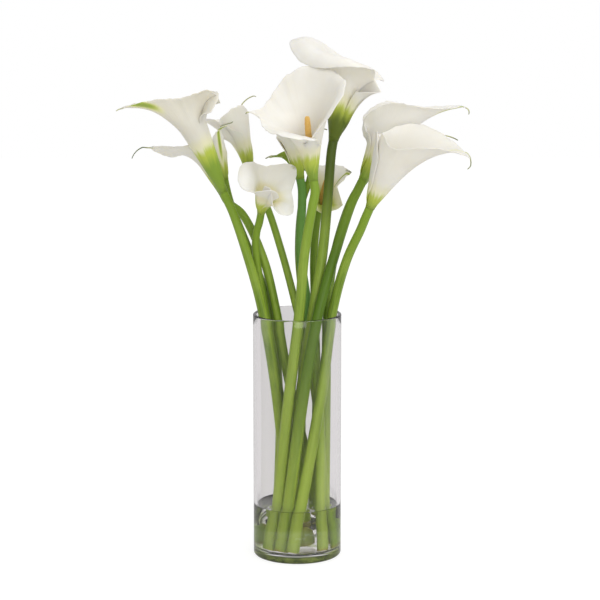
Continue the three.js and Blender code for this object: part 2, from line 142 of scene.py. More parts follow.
FLOWERS = [
    FlowerPlan(
        name="left_high", radii=(6.6, 4.8),
        stem=[
            (-14, 6.5, 12), (-18.5, 3, 140), (-39, -2.5, 282),
            (-58, -2.5, 353), (-72.5, -5, 397), (-83, -8, 421),
        ],
        lean=25, lean_to=-156, tip_to=-199, skew=36, bend=3, bend_to=10, limb=(130, 140, -20, 3),
        tube=78, funnel=7, rise=0.5, cut=0.16, flare=(31, 37, -34, -19), curl=(77, 24, 0, 0),
        curl_length=32, tip=18, tip_width=32, tip_curl=20, awn=1, wave=1.8, wave_turn=47, green=52,
        keel=(1, 20, 3.8), hook=(4, 0, 25), age=0.6,
    ),
    FlowerPlan(
        name="left_low", radii=(6.2, 4.5),
        stem=[
            (34.5, 4, 12), (-11.5, 14, 209), (-25, 14.5, 286),
            (-38.5, 14, 341), (-62, 15.5, 391), (-85, 21, 416),
        ],
        lean=32, lean_to=157, tip_to=-179, skew=21, bend=9, bend_to=40, limb=(75, 93, -13, 0),
        tube=35, funnel=4, rise=0.9, flare=(18, 68, 23, 2), curl=(34, -8, 8, 0), curl_length=17,
        tip=7, tip_width=13, tip_curl=-14, swing=2, awn=16, wave=5, wave_turn=55, green=22,
        keel=(0.4, 0, 1), awn_tone=1, hook=(11, 25, 55), loose=8, age=0.2,
    ),
    FlowerPlan(
        name="left_back", radii=(5.6, 3.8),
        stem=[
            (-24.5, 27, 12), (-21, 29.5, 173), (-32, 26, 284),
            (-54, 27, 347), (-74, 28.5, 398), (-82, 31, 430),
        ],
        lean=13, lean_to=156, tip_to=-122, skew=66, bend=6, bend_to=177, limb=(55, 55, -22, 0),
        tube=25, funnel=7, flare=(1, 5, -33, -18), curl=(10, 3, 5, 0), curl_length=15, tip=4,
        tip_width=29, tip_curl=-50, swing=15, awn=0, wave=-1.5, wave_turn=-16, spadix=28, green=16,
        keel=(1, -14, 2.2), awn_tone=0.7, hook=(3, 0, 40),
    ),
    FlowerPlan(
        name="left_middle", radii=(5, 3.9),
        stem=[
            (36, -8.5, 12), (19, 5.5, 195), (-0.5, 15, 282),
            (-18.5, 31.5, 348), (-36.5, 46.5, 399), (-54, 52, 435),
        ],
        lean=12, lean_to=155, tip_to=65, skew=-74, bend=11, bend_to=42, limb=(69, 41, 23, 3),
        tube=15, rise=0.8, flare=(58, 5, 10, -9), curl=(3, -19, 1, 0), curl_length=25, tip=32,
        tip_width=12, tip_curl=106, swing=-2, awn=21, wave=-0.5, wave_turn=-86, spadix=36, green=22,
        keel=(0.7, 0, 1.4), awn_tone=0.6, hook=(4, 0, -60),
    ),
    FlowerPlan(
        name="centre_front", radii=(7.2, 5),
        stem=[
            (-26, -11.5, 12), (-10.5, -17, 174), (2.5, -22, 285),
            (8, -28, 350), (17, -31.5, 406), (18, -30, 436),
        ],
        lean=9, lean_to=147, tip_to=98, skew=76, bend=32, bend_to=180, limb=(71, 86, 24, -14),
        tube=26, funnel=12, flare=(36, 77, 1, 20), curl=(29, -20, 28, 0), curl_length=14, tip=26,
        tip_width=12, tip_curl=56, swing=-9, awn=7, wave=-5, wave_turn=-109, spadix=72, green=26,
        keel=(0.15, 0, 1), awn_tone=0.9, ruffle=0.7, tone=0.4, age=0.15,
    ),
    FlowerPlan(
        name="centre_top", radii=(6.8, 5.3),
        stem=[
            (-12, -7, 12), (3.5, -11, 182), (18, -9.5, 283),
            (28, -1.5, 344), (34.5, 12.5, 410), (41, 21.5, 475),
        ],
        lean=10, lean_to=11, tip_to=150, skew=-2, bend=2, bend_to=-3, limb=(90, 130, 4, 6), tube=84,
        funnel=12, rise=1.1, flare=(14, 96, 25, -11), curl=(32, 18, 88, 0), curl_length=42, tip=17,
        tip_width=39, tip_curl=-29, swing=-9, awn=8, wave=5, wave_turn=74, green=38,
        keel=(0.2, 0, 1), olive=0.9, awn_tone=0.4, tone=0.35, age=0.1, kind=StemKind.DARK,
    ),
    FlowerPlan(
        name="centre_small", radii=(6, 4.2),
        stem=[
            (7.5, 17, 12), (-17, 16, 162), (-36, 13.5, 280),
            (-46.5, 5, 347), (-45.5, -1.5, 373), (-40, -10, 397),
        ],
        lean=22, lean_to=-63, tip_to=85, skew=-16, bend=43, bend_to=-97, limb=(61, 64, -10, 6),
        lobes=4, lobe_depth=0.3, tube=17, funnel=22, rise=1.6, flare=(30, 45, 30, -6),
        curl=(1, -16, 65, 0), curl_length=35, tip=2, tip_width=22, awn=0, wave=-5, wave_turn=94,
        spadix=22, green=14, keel=(0, 0, 1), throat_shade=0.5, awn_tone=0.4,
    ),
    FlowerPlan(
        name="centre_back", radii=(6.2, 4.8),
        stem=[
            (25.5, -22.5, 12), (24, -6, 181), (12.5, 5, 281),
            (3.5, 15, 350), (5.5, 22.5, 401), (3, 24, 432),
        ],
        lean=10, lean_to=173, tip_to=-6, skew=12, bend=9, bend_to=-108, limb=(54, 56, -2, -5),
        tube=25, funnel=9, rise=1.2, flare=(25, 79, -13, 4), curl=(0, 5, 1, 0), curl_length=22,
        tip=8, tip_width=11, tip_curl=36, swing=-1, awn=5, spadix=36, green=20, keel=(0.3, 0, 1),
        awn_tone=0.8, age=0.2, kind=StemKind.BLUISH,
    ),
    FlowerPlan(
        name="centre_right", radii=(6, 4.2),
        stem=[
            (18, 31.5, 12), (22.5, 16, 175), (20, 21, 289),
            (19, 33, 340), (22, 40, 376), (26, 40, 397),
        ],
        lean=12, lean_to=-6, tip_to=12, skew=11, bend=5, bend_to=-94, limb=(53, 47, -15, 14),
        tube=28, funnel=19, rise=1.1, flare=(35, 46, 24, -11), curl=(39, -11, 51, 0),
        curl_length=15, tip=5, tip_width=26, tip_curl=118, swing=-14, awn=0, wave=-2.2, wave_turn=6,
        spadix=30, green=18, keel=(1, -10, 1.6), awn_tone=0.7,
    ),
    FlowerPlan(
        name="right_high", radii=(7.2, 5.2),
        stem=[
            (-15.5, -22, 12), (7, -24, 191), (24, -20.5, 285),
            (42, -8.5, 348), (61, 6.5, 404), (75, 12, 432),
        ],
        lean=28, lean_to=17, tip_to=13, skew=-14, limb=(69, 124, -6, 0), tube=25, funnel=12,
        rise=1.8, flare=(62, 53, -32, -6), curl=(0, 3, 22, 0), curl_length=15, tip=19, tip_width=26,
        tip_curl=87, swing=10, awn=6, wave=-5, wave_turn=-64, green=22, keel=(1, -11, 1.8),
        awn_tone=0.6, hook=(2, 0, -30), tone=-0.9,
    ),
    FlowerPlan(
        name="right_front", radii=(6.8, 4.9),
        stem=[
            (-5, -33, 12), (26.5, -18, 189), (40, -10.5, 285),
            (55.5, -22.5, 345), (70.5, -33.5, 380.5), (81, -40, 407),
        ],
        lean=25, lean_to=-27, tip_to=14, skew=-14, bend=4, bend_to=-40, limb=(84, 125, -19, -2),
        tube=16, funnel=16, rise=2, flare=(15, 67, -20, 6), curl=(0, 17, 7, 0), curl_length=14,
        tip=6, tip_width=25, tip_curl=111, swing=-10, awn=9, wave=-4, wave_turn=91, green=16,
        keel=(0.5, 0, 1), awn_tone=0.8, hook=(7, -20, -40), age=0.25,
    ),
    FlowerPlan(
        name="right_back", radii=(6.2, 4.7),
        stem=[
            (32, 19, 12), (33.5, 11.5, 188), (35, 19.5, 278),
            (41, 37, 334), (59.5, 60.5, 394), (81, 67, 428),
        ],
        lean=37, lean_to=-3, tip_to=-11, skew=-8, limb=(74, 79, -5, 3), tube=30, funnel=6, rise=1.6,
        flare=(78, 52, -23, 0), curl=(33, -9, 21, 0), curl_length=27, tip=27, tip_width=22,
        tip_curl=37, swing=-4, awn=14, wave=1.9, wave_turn=-22, spadix=36, green=20,
        keel=(0.6, 0, 1), awn_tone=0.9, tone=-0.3, age=0.6,
    ),
    FlowerPlan(
        name="centre_bud", radii=(5.4, 3.8),
        stem=[
            (6, 33, 12), (5, 27, 174), (6.5, 23.5, 278),
            (1.5, 28, 348), (5, 33, 399), (3, 36, 443),
        ],
        overlap=0, lean=71, lean_to=154, tip_to=-146, skew=80, bend=10, bend_to=9,
        limb=(23, 17, 0, 6), tube=3, funnel=4, flare=(48, 6, 19, 8), curl=(90, -12, 31, 0), tip=20,
        tip_width=20, tip_curl=-21, swing=-5, awn=2, wave=-4.3, wave_turn=99, spadix=0, green=60,
        awn_tone=0.8,
    ),
]


# ------------------------------------------------------------------ small helpers
class Fade(NamedTuple):
    """A change from one colour to another, and the values between which it takes place."""

    low: float
    high: float
    first: Colour
    second: Colour


def smooth(x: np.ndarray) -> np.ndarray:
    """Smooth step from 0 to 1."""
    x = np.clip(x, 0, 1)
    return x * x * (3 - 2 * x)


def bell(x: np.ndarray, width: float | np.ndarray) -> np.ndarray:
    """Bell curve that is 1 at 0 and about a third at one width from it."""
    return np.exp(-((x / width) ** 2))


def unit(vectors: np.ndarray) -> np.ndarray:
    """The same directions with a length of 1."""
    return vectors / np.maximum(np.linalg.norm(vectors, axis=-1, keepdims=True), 1e-9)


def leaning(lean: float, lean_to: float) -> np.ndarray:
    """Unit vector that leans away from the vertical towards a compass direction."""
    tilt, turn = math.radians(lean), math.radians(lean_to)
    out = math.sin(tilt)
    return np.array([out * math.cos(turn), out * math.sin(turn), math.cos(tilt)])


def circle(steps: int) -> np.ndarray:
    """Points of a circle of radius 1, one row each."""
    angles = np.arange(steps) * FULL_TURN / steps
    return np.stack([np.cos(angles), np.sin(angles)], 1)


def quarter_round(x: float, y: float, radius: float, start: float) -> list[tuple[float, float]]:
    """Points of a quarter round about (x, y) that starts at an angle in degrees."""
    angles = [math.radians(start + 90 * i / ROUND_STEPS) for i in range(ROUND_STEPS + 1)]
    return [(x + radius * math.cos(a), y + radius * math.sin(a)) for a in angles]


def emptied(block: Material | bpy.types.World) -> Tree:
    """Empties the nodes of a material or a world, and returns their tree."""
    block.use_nodes = True
    block.node_tree.nodes.clear()
    return block.node_tree


def linked(name: str, data: bpy.types.ID) -> Object:
    """Makes an object of some data and links it to the scene."""
    made = bpy.data.objects.new(name, data)
    bpy.context.scene.collection.objects.link(made)
    return made


def new_piece(name: str, points: np.ndarray, faces: list[Face], even: bool = True) -> Object:
    """Makes an object at the origin from points in millimetres.

    Args:
        name: Name of the object and its mesh.
        points: Positions in millimetres, one row each.
        faces: Corners of each face, counter-clockwise seen from outside.
        even: Whether the faces are shaded smooth.

    Returns:
        The new object, linked to the scene.
    """
    mesh = bpy.data.meshes.new(name)
    mesh.from_pydata((points * MM).tolist(), [], faces)
    mesh.validate()
    mesh.polygons.foreach_set("use_smooth", [even] * len(mesh.polygons))
    return linked(name, mesh)


def keep_value(piece: Object, name: str, values: np.ndarray) -> None:
    """Stores one number for each vertex of a piece as a named attribute."""
    kept = piece.data.attributes.new(name, "FLOAT", "POINT")
    kept.data.foreach_set("value", values.astype(np.float32).ravel())


def ring_faces(rings: int, segments: int, downward: bool = False) -> list[Face]:
    """Faces of a body of rings, with one point before the first and one after the last.

    Args:
        rings: Number of rings.
        segments: Points of each ring, counter-clockwise seen from above.
        downward: Whether the rings begin at the body's top, and not at its foot.

    Returns:
        Corners of each face, counter-clockwise seen from outside.
    """
    top = 1 + (rings - 1) * segments
    faces: list[Face] = []
    for j in range(segments):
        k = (j + 1) % segments
        faces.append((0, 1 + k, 1 + j))
        for a in range(1, top, segments):
            faces.append((a + j, a + k, a + segments + k, a + segments + j))
        faces.append((top + segments, top + j, top + k))
    return [(face[0], *face[:0:-1]) for face in faces] if downward else faces


def turned(profile: list[tuple[float, float]], segments: int) -> tuple[np.ndarray, list[Face]]:
    """Turns a profile round Z, from the axis out and back to the axis.

    Args:
        profile: Radius and height of each point; the first and last lie on the axis.
        segments: Number of steps all round.

    Returns:
        Positions and faces of the closed body.
    """
    ring = circle(segments)
    rows = [np.column_stack([ring * radius, np.full(segments, z)]) for radius, z in profile[1:-1]]
    points = np.vstack([[[0, 0, profile[0][1]]], *rows, [[0, 0, profile[-1][1]]]])
    return points, ring_faces(len(rows), segments)


def thin_rod(line: np.ndarray, radii: np.ndarray, sides: int) -> tuple[np.ndarray, list[Face]]:
    """Makes a closed rod along a line that never runs along Y.

    Args:
        line: Points of the centre line.
        radii: Radius at each of them.
        sides: Number of sides.

    Returns:
        Positions and faces of the rod.
    """
    way = unit(np.gradient(line, axis=0))
    across = unit(np.cross(way, (0.0, 1.0, 0.0)))
    over = np.cross(way, across)
    cosine, sine = circle(sides).T[:, :, None]
    ring = across[:, None] * cosine + over[:, None] * sine
    points = (line[:, None] + ring * radii[:, None, None]).reshape(-1, 3)
    faces: list[Face] = [tuple(range(sides))[::-1]]
    for i in range(len(line) - 1):
        for j in range(sides):
            a, b = i * sides + j, i * sides + (j + 1) % sides
            faces.append((a, b, b + sides, a + sides))
    faces.append(tuple((len(line) - 1) * sides + j for j in range(sides)))
    return points, faces


# ------------------------------------------------------------------ node building
class ShaderBench:
    """Wires the nodes of one material, world or shared effect.

    Args:
        tree: The node tree that is filled.
    """

    def __init__(self, tree: Tree) -> None:
        """Keeps the tree."""
        self.tree = tree

    def fill(self, socket: Socket, value: Value | tuple[float, ...]) -> None:
        """Links a socket to another one, or sets its value.

        Args:
            socket: The input of a node.
            value: An output of a node, a number, a vector or a colour.
        """
        if isinstance(value, Socket):
            self.tree.links.new(value, socket)
        elif socket.type == "RGBA":
            socket.default_value = (*value, 1)
        else:
            socket.default_value = value

    def connect(self, made: Node, **inputs: Value) -> Node:
        """Fills inputs of a node by name, _ standing for a space, and returns the node."""
        for key, value in inputs.items():
            self.fill(made.inputs[key.replace("_", " ")], value)
        return made

    def in_order(self, made: Node, *values: Value) -> Socket:
        """Fills the first inputs of a node in order, and returns its first output."""
        for socket, value in zip(made.inputs, values):
            self.fill(socket, value)
        return made.outputs[0]

    def node(self, kind: str, settings: dict[str, object] | None = None, **inputs: Value) -> Node:
        """Adds a node.

        Args:
            kind: Type of the node.
            settings: Its options.
            **inputs: What its inputs get, _ standing for a space.

        Returns:
            The new node.
        """
        made = self.tree.nodes.new(kind)
        for key, value in (settings or {}).items():
            setattr(made, key, value)
        return self.connect(made, **inputs)

    def attribute(self, name: str) -> Socket:
        """A number stored on the mesh."""
        return self.node("ShaderNodeAttribute", {"attribute_name": name}).outputs["Fac"]

    def place(self, kind: str = "Object") -> Socket:
        """The place that is shaded, in metres, or its direction."""
        return self.node("ShaderNodeTexCoord").outputs[kind]

    def parts(self, vector: Socket) -> bpy.types.NodeOutputs:
        """The X, Y and Z of a vector."""
        return self.node("ShaderNodeSeparateXYZ", Vector=vector).outputs

    def math(self, operation: str, *values: Value) -> Socket:
        """One step of arithmetic."""
        return self.in_order(self.node("ShaderNodeMath", {"operation": operation}), *values)

    def times(self, first: Value, second: Value) -> Socket:
        """The product of two numbers."""
        return self.math("MULTIPLY", first, second)

    def span(
        self, value: Value, low: float, high: float, start: float = 0, end: float = 1
    ) -> Socket:
        """Maps a value between low and high to one between start and end, smoothly."""
        given = {"From_Min": low, "From_Max": high, "To_Min": start, "To_Max": end}
        made = self.node("ShaderNodeMapRange", {"interpolation_type": "SMOOTHSTEP"}, **given)
        return self.in_order(made, value)

    def mix(self, share: Value, first: Paint, second: Paint, blend: str = "MIX") -> Socket:
        """Mixes two colours.

        Args:
            share: How much of the second one is used.
            first: The first colour.
            second: The second colour.
            blend: How the second one acts on the first.

        Returns:
            The mixed colour.
        """
        made = self.node("ShaderNodeMix", {"data_type": "RGBA", "blend_type": blend})
        for index, value in zip(MIX_COLOUR_INPUTS, (share, first, second)):
            self.fill(made.inputs[index], value)
        return made.outputs[MIX_COLOUR_OUTPUT]

    def fade(self, value: Value, fade: Fade) -> Socket:
        """Goes from one colour to another as a value grows."""
        return self.mix(self.span(value, fade.low, fade.high), fade.first, fade.second)

    def choose(self, share: Value, first: Socket, second: Socket) -> Socket:
        """Goes from one shader to another."""
        return self.in_order(self.node("ShaderNodeMixShader"), share, first, second)

    def rolled(self, around: Value, count: Value, height: Value) -> Socket:
        """A place on a cylinder, so that a texture closes all round.

        Args:
            around: Share of a full turn.
            count: Way round the cylinder, as a number of the texture's features.
            height: Place along the cylinder, counted likewise.

        Returns:
            The place as a vector.
        """
        turn = self.times(around, FULL_TURN)
        radius = self.math("DIVIDE", count, FULL_TURN)
        x = self.times(self.math("COSINE", turn), radius)
        y = self.times(self.math("SINE", turn), radius)
        return self.node("ShaderNodeCombineXYZ", X=x, Y=y, Z=height).outputs[0]

    def noise(self, place: Socket, **inputs: Value) -> Socket:
        """Soft noise about a half."""
        return self.node("ShaderNodeTexNoise", Vector=place, **inputs).outputs["Fac"]

    def bump(self, height: Socket, strength: float, distance: float) -> Socket:
        """Bumps that are as high as a distance in metres."""
        bumps = self.node("ShaderNodeBump", Height=height, Strength=strength, Distance=distance)
        return bumps.outputs[0]


class Effects:
    """Shader groups that more than one finish uses, each built once. They give masks."""

    def __init__(self) -> None:
        """Builds the groups."""
        self.line_tree = self.build_lines()
        self.mottle_tree = self.build_mottle()

    def start(self, name: str, inputs: dict[str, float | None]) -> tuple[ShaderBench, Node, Node]:
        """Begins a group.

        Args:
            name: Name of the group.
            inputs: Its inputs with their usual numbers, or None for a vector.

        Returns:
            A bench for the group, its input node and its output node.
        """
        tree = bpy.data.node_groups.new(name, "ShaderNodeTree")
        for key, number in inputs.items():
            kind = "NodeSocketVector" if number is None else "NodeSocketFloat"
            socket = tree.interface.new_socket(key, in_out="INPUT", socket_type=kind)
            if number is not None:
                socket.default_value = number
        tree.interface.new_socket("Mask", in_out="OUTPUT", socket_type="NodeSocketFloat")
        bench = ShaderBench(tree)
        return bench, bench.node("NodeGroupInput"), bench.node("NodeGroupOutput")

    def build_lines(self) -> Tree:
        """Group of fine lines that run the long way."""
        usual = {"Around": 0, "Along": 0, "Count": 40, "Waver": 4}
        bench, start, end = self.start("Long lines", usual)
        asked = start.outputs
        height = bench.times(asked["Along"], asked["Waver"])
        place = bench.rolled(asked["Around"], asked["Count"], height)
        noise = bench.noise(place, Scale=1.0, Detail=2.0, Roughness=0.6)
        bench.connect(end, Mask=bench.span(noise, *NOISE_RANGE))
        return bench.tree

    def build_mottle(self) -> Tree:
        """Group of soft uneven patches."""
        bench, start, end = self.start("Mottle", {"Place": None, "Size": 0.02, "Detail": 3})
        asked = start.outputs
        scale = bench.math("DIVIDE", 1.0, asked["Size"])
        noise = bench.noise(asked["Place"], Scale=scale, Detail=asked["Detail"])
        bench.connect(end, Mask=bench.span(noise, *NOISE_RANGE))
        return bench.tree


class FinishBench(ShaderBench):
    """Bench of one material, which can also place the shared effects.

    Args:
        material: The material, whose nodes are emptied.
        effects: The shared effects.
    """

    def __init__(self, material: Material, effects: Effects) -> None:
        """Empties the material's nodes and keeps the effects."""
        super().__init__(emptied(material))
        self.effects = effects

    def lines(self, count: float, waver: float) -> Socket:
        """Places a number of lines all round, which waver so often in a metre."""
        given = {"Around": self.attribute("around"), "Along": self.attribute("along")}
        settings = {"node_tree": self.effects.line_tree}
        return self.node("ShaderNodeGroup", settings, **given, Count=count, Waver=waver).outputs[0]

    def mottle(self, size: float) -> Socket:
        """Places patches of a size in metres."""
        settings = {"node_tree": self.effects.mottle_tree}
        return self.node("ShaderNodeGroup", settings, Place=self.place(), Size=size).outputs[0]


# ------------------------------------------------------------------ finishes
@dataclass(frozen=True)
class Finish:
    """What all finishes share: a name, and the way from their shader to a material."""

    name: str

    def material(self, effects: Effects) -> Material:
        """Builds the material.

        Args:
            effects: The shared effects.

        Returns:
            The material, whose only output has the shader of the finish.
        """
        material = bpy.data.materials.new(self.name)
        bench = FinishBench(material, effects)
        bench.node("ShaderNodeOutputMaterial", Surface=self.surface(bench))
        return material

    def surface(self, bench: FinishBench) -> Socket:
        """Wires the finish and returns its shader."""
        raise NotImplementedError


@dataclass(frozen=True)
class PlantFinish(Finish):
    """What the finishes of the flowers share: patches, soft skin and small bumps."""

    patch_size: float = 0.03  # in metres
    patch_share: float = 0.6  # how much the patches show
    roughness: tuple[float, float] = (0.37, 0.5)
    shine: float = 0.5
    glow: float = 0.25  # share of the light that goes through the skin
    glow_reach: Colour = (0.006, 0.005, 0.003)  # how far it goes, in metres
    bump_strength: float = 0.25
    bump_distance: float = 0.0006

    def skin(self, bench: FinishBench, body: Socket, rough: Socket, height: Socket) -> Socket:
        """Makes the shader of a soft skin.

        Args:
            bench: Where the nodes go.
            body: Its colour.
            rough: Mask of its roughness.
            height: Height of its bumps.

        Returns:
            The shader.
        """
        shader = bench.node(
            "ShaderNodeBsdfPrincipled",
            Base_Color=body,
            Roughness=bench.span(rough, 0, 1, *self.roughness),
            Specular_IOR_Level=self.shine,
            Subsurface_Weight=self.glow,
            Subsurface_Radius=self.glow_reach,
            Subsurface_Scale=1.0,
            Normal=bench.bump(height, self.bump_strength, self.bump_distance),
        )
        return shader.outputs[0]


@dataclass(frozen=True)
class PetalFinish(PlantFinish):
    """Waxy white sheet with a green foot, a green keel and a toned awn, and painted shade in the
    throat and over flowers that lie in shade.
    """

    ivory: Colour = (0.86, 0.84, 0.80)
    shade: Colour = (0.80, 0.765, 0.70)
    # beige of age, also used as painted shade on flowers that lie in shade
    aged_and_shaded: Colour = (0.62, 0.585, 0.49)
    # yellow of the painted shade in the throat
    throat_shade_yellow: Colour = (0.80, 0.60, 0.16)
    cream: Colour = (0.78, 0.76, 0.50)
    lime: Colour = (0.46, 0.54, 0.07)
    green: Colour = (0.22, 0.34, 0.03)
    olive: Colour = (0.09, 0.125, 0.008)
    awn: Colour = (0.07, 0.11, 0.03)
    veins: tuple[float, float] = (90, 6)  # number and waver
    vein_share: float = 0.1  # how much the veins show
    vein_shift: float = 0.05  # how far a vein shifts the foot's colours
    streaks: tuple[float, float] = (16, 9)  # number and waver of the foot's streaks
    streak_shift: float = 0.14  # how far a streak shifts them
    foot_steps: Steps = ((-1.5, 0.1), (-0.4, 0.3), (0.2, 1.4))
    keel_steps: Steps = ((0.15, 0.6), (0.35, 0.95), (0.6, 1.1))
    olive_step: tuple[float, float] = (-0.1, 1.2)
    vein_height: float = 0.7
    grain_scale: float = 1800
    grain_height: float = 0.15

    def greened(self, bench: FinishBench, body: Socket, mask: Socket, steps: Steps) -> Socket:
        """Takes a colour over cream and lime to green.

        Args:
            bench: Where the nodes go.
            body: The colour where the mask is low.
            mask: How green the place is.
            steps: Where each of the three colours begins and is full.

        Returns:
            The new colour.
        """
        for (low, high), colour in zip(steps, (self.cream, self.lime, self.green)):
            body = bench.mix(bench.span(mask, low, high), body, colour)
        return body

    def surface(self, bench: FinishBench) -> Socket:
        """Wires the finish; its masks are the sheet's own attributes.

        Args:
            bench: Where the nodes go.

        Returns:
            The shader.
        """
        veins, patches = bench.lines(*self.veins), bench.mottle(self.patch_size)
        body = bench.mix(bench.times(patches, self.patch_share), self.ivory, self.shade)
        body = bench.mix(bench.times(veins, self.vein_share), body, self.shade)
        # painted shade: flowers that lie in shade turn beige, as with age
        body = bench.mix(bench.attribute("age"), body, self.aged_and_shaded)
        # painted yellow shade deep in the throat
        body = bench.mix(bench.attribute("throat_shade"), body, self.throat_shade_yellow)
        foot = bench.attribute("foot")
        shifts = ((bench.lines(*self.streaks), self.streak_shift), (veins, self.vein_shift))
        for lines, shift in shifts:
            foot = bench.math("ADD", foot, bench.span(lines, 0, 1, -shift, shift))
        body = self.greened(bench, body, foot, self.foot_steps)
        olive = bench.times(bench.attribute("olive"), bench.span(foot, *self.olive_step))
        body = bench.mix(olive, body, self.olive)
        body = self.greened(bench, body, bench.attribute("keel"), self.keel_steps)
        body = bench.mix(bench.attribute("awn_tone"), body, self.awn)
        grain = bench.noise(bench.place(), Scale=self.grain_scale, Detail=2.0)
        low = bench.times(grain, self.grain_height)
        height = bench.math("ADD", bench.times(veins, self.vein_height), low)
        return self.skin(bench, body, patches, height)


@dataclass(frozen=True)
class StemFinish(PlantFinish):
    """Fleshy green rod with long pale and dark strands."""

    patch_size: float = 0.035
    patch_share: float = 0.5
    roughness: tuple[float, float] = (0.36, 0.48)
    shine: float = 0.32
    glow: float = 0.08
    glow_reach: Colour = (0.002, 0.003, 0.001)
    bump_strength: float = 0.35
    bump_distance: float = 0.0004
    body: Colour = (0.22, 0.34, 0.03)
    pale: Colour = (0.32, 0.44, 0.06)
    deep: Colour = (0.075, 0.155, 0.008)
    top: Colour = (0.20, 0.32, 0.025)
    foot: Colour = (0.34, 0.46, 0.055)
    cut: Colour = (0.36, 0.34, 0.06)  # of the cut end
    broad: tuple[float, float] = (5, 5)  # number and waver of the broad strands
    broad_height: float = 0.5
    fine: tuple[float, float] = (26, 14)  # number and waver of the fine ones
    fine_share: float = 0.45
    top_from: float = 0.75  # where the top's colour begins, as a share of the length
    top_fade: float = 0.22
    top_share: float = 0.85
    foot_fade: tuple[float, float] = (0.08, 0.55)
    foot_share: tuple[float, float] = (0.55, 0.9)  # between the broad strands and on them
    cut_edge: float = 0.004
    cut_waver: float = 0.005

    def surface(self, bench: FinishBench) -> Socket:
        """Wires the finish; the strands follow the rod's own attributes.

        Args:
            bench: Where the nodes go.

        Returns:
            The shader.
        """
        broad, fine = bench.lines(*self.broad), bench.lines(*self.fine)
        patches = bench.mottle(self.patch_size)
        body = bench.mix(broad, self.deep, self.body)
        body = bench.mix(bench.times(patches, self.patch_share), body, self.pale)
        body = bench.mix(bench.times(fine, self.fine_share), body, self.pale)
        tone = bench.attribute("tone")
        body = bench.mix(bench.math("MAXIMUM", tone, 0.0), body, self.pale)
        body = bench.mix(bench.math("MAXIMUM", bench.times(tone, -1.0), 0.0), body, self.deep)
        share = bench.attribute("share")
        low = bench.span(share, *self.foot_fade, 1, 0)
        low = bench.times(low, bench.span(broad, 0, 1, *self.foot_share))
        body = bench.mix(low, body, self.foot)
        high = bench.span(share, self.top_from, self.top_from + self.top_fade)
        body = bench.mix(bench.times(high, self.top_share), body, self.top)
        end = bench.math("SUBTRACT", bench.span(patches, 0, 1, 0.0, self.cut_waver), share)
        body = bench.mix(bench.span(end, -self.cut_edge, self.cut_edge), body, self.cut)
        height = bench.math("ADD", fine, bench.times(broad, self.broad_height))
        return self.skin(bench, body, patches, height)


STEM_FINISHES = {
    StemKind.GREEN: StemFinish("green stem"),
    StemKind.BLUISH: StemFinish("bluish stem", top=(0.10, 0.26, 0.05), top_from=0.45),
    StemKind.DARK: StemFinish("dark topped stem", top=(0.035, 0.058, 0.005), top_from=0.72),
}


@dataclass(frozen=True)
class SpadixFinish(PlantFinish):
    """Golden finger of tiny flowers, lighter where the pollen lies."""

    patch_size: float = 0.012
    patch_share: float = 0.4
    roughness: tuple[float, float] = (0.7, 0.9)
    glow: float = 0
    bump_strength: float = 0.4
    bump_distance: float = 0.0004
    gold: Colour = (0.74, 0.42, 0.08)
    pollen: Colour = (0.86, 0.62, 0.22)
    grain_size: float = 0.0012  # in metres
    grain_share: float = 0.7

    def surface(self, bench: FinishBench) -> Socket:
        """Wires the finish.

        Args:
            bench: Where the nodes go.

        Returns:
            The shader.
        """
        grains, patches = bench.mottle(self.grain_size), bench.mottle(self.patch_size)
        body = bench.mix(bench.times(grains, self.grain_share), self.gold, self.pollen)
        body = bench.mix(bench.times(patches, self.patch_share), body, self.pollen)
        return self.skin(bench, body, grains, grains)


@dataclass(frozen=True)
class ClearFinish(Finish):
    """What glass and water share. Sizes in metres."""

    tint: Colour = (0.985, 0.972, 0.98)
    index: float = 1.5  # of refraction

    def clear(self, bench: FinishBench) -> Node:
        """The clear shader itself."""
        kind = "ShaderNodeBsdfPrincipled"
        return bench.node(kind, Roughness=0.0, IOR=self.index, Transmission_Weight=1.0)

    def surface(self, bench: FinishBench) -> Socket:
        """Lets shadow rays through as through a tinted film, and returns the shader."""
        film = bench.node("ShaderNodeBsdfTransparent", Color=self.tint).outputs[0]
        shadow = bench.node("ShaderNodeLightPath").outputs["Is Shadow Ray"]
        return bench.choose(shadow, self.clear(bench).outputs[0], film)


@dataclass(frozen=True)
class GlassFinish(ClearFinish):
    """Clear glass with a painted reflection of the stems' green round its thick base."""

    reflection_band: tuple[float, float] = (0.008, 0.0095)  # height where the painted green reflection fades out
    outside: tuple[float, float] = (0.0465, 0.048)  # where the outer wall begins
    patch_size: float = 0.009
    # green and dark of the painted reflection of the stems
    pale: Colour = (0.10, 0.145, 0.008)
    deep: Colour = (0.010, 0.02, 0.001)

    def clear(self, bench: FinishBench) -> Node:
        """The clear shader, with a painted green reflection of the stems round the base.

        Args:
            bench: Where the nodes go.

        Returns:
            The node of the shader.
        """
        spot = bench.parts(bench.place())
        flat = bench.node("ShaderNodeCombineXYZ", X=spot["X"], Y=spot["Y"]).outputs[0]
        reach = bench.node("ShaderNodeVectorMath", {"operation": "LENGTH"}, Vector=flat)
        outside = bench.span(reach.outputs["Value"], *self.outside)
        # painted reflection of the stems' green, round the outside of the base
        reflection_band = bench.times(bench.span(spot["Z"], *self.reflection_band, 1, 0), outside)
        green = bench.mix(bench.mottle(self.patch_size), self.deep, self.pale)
        return bench.connect(super().clear(bench), Base_Color=bench.mix(reflection_band, self.tint, green))


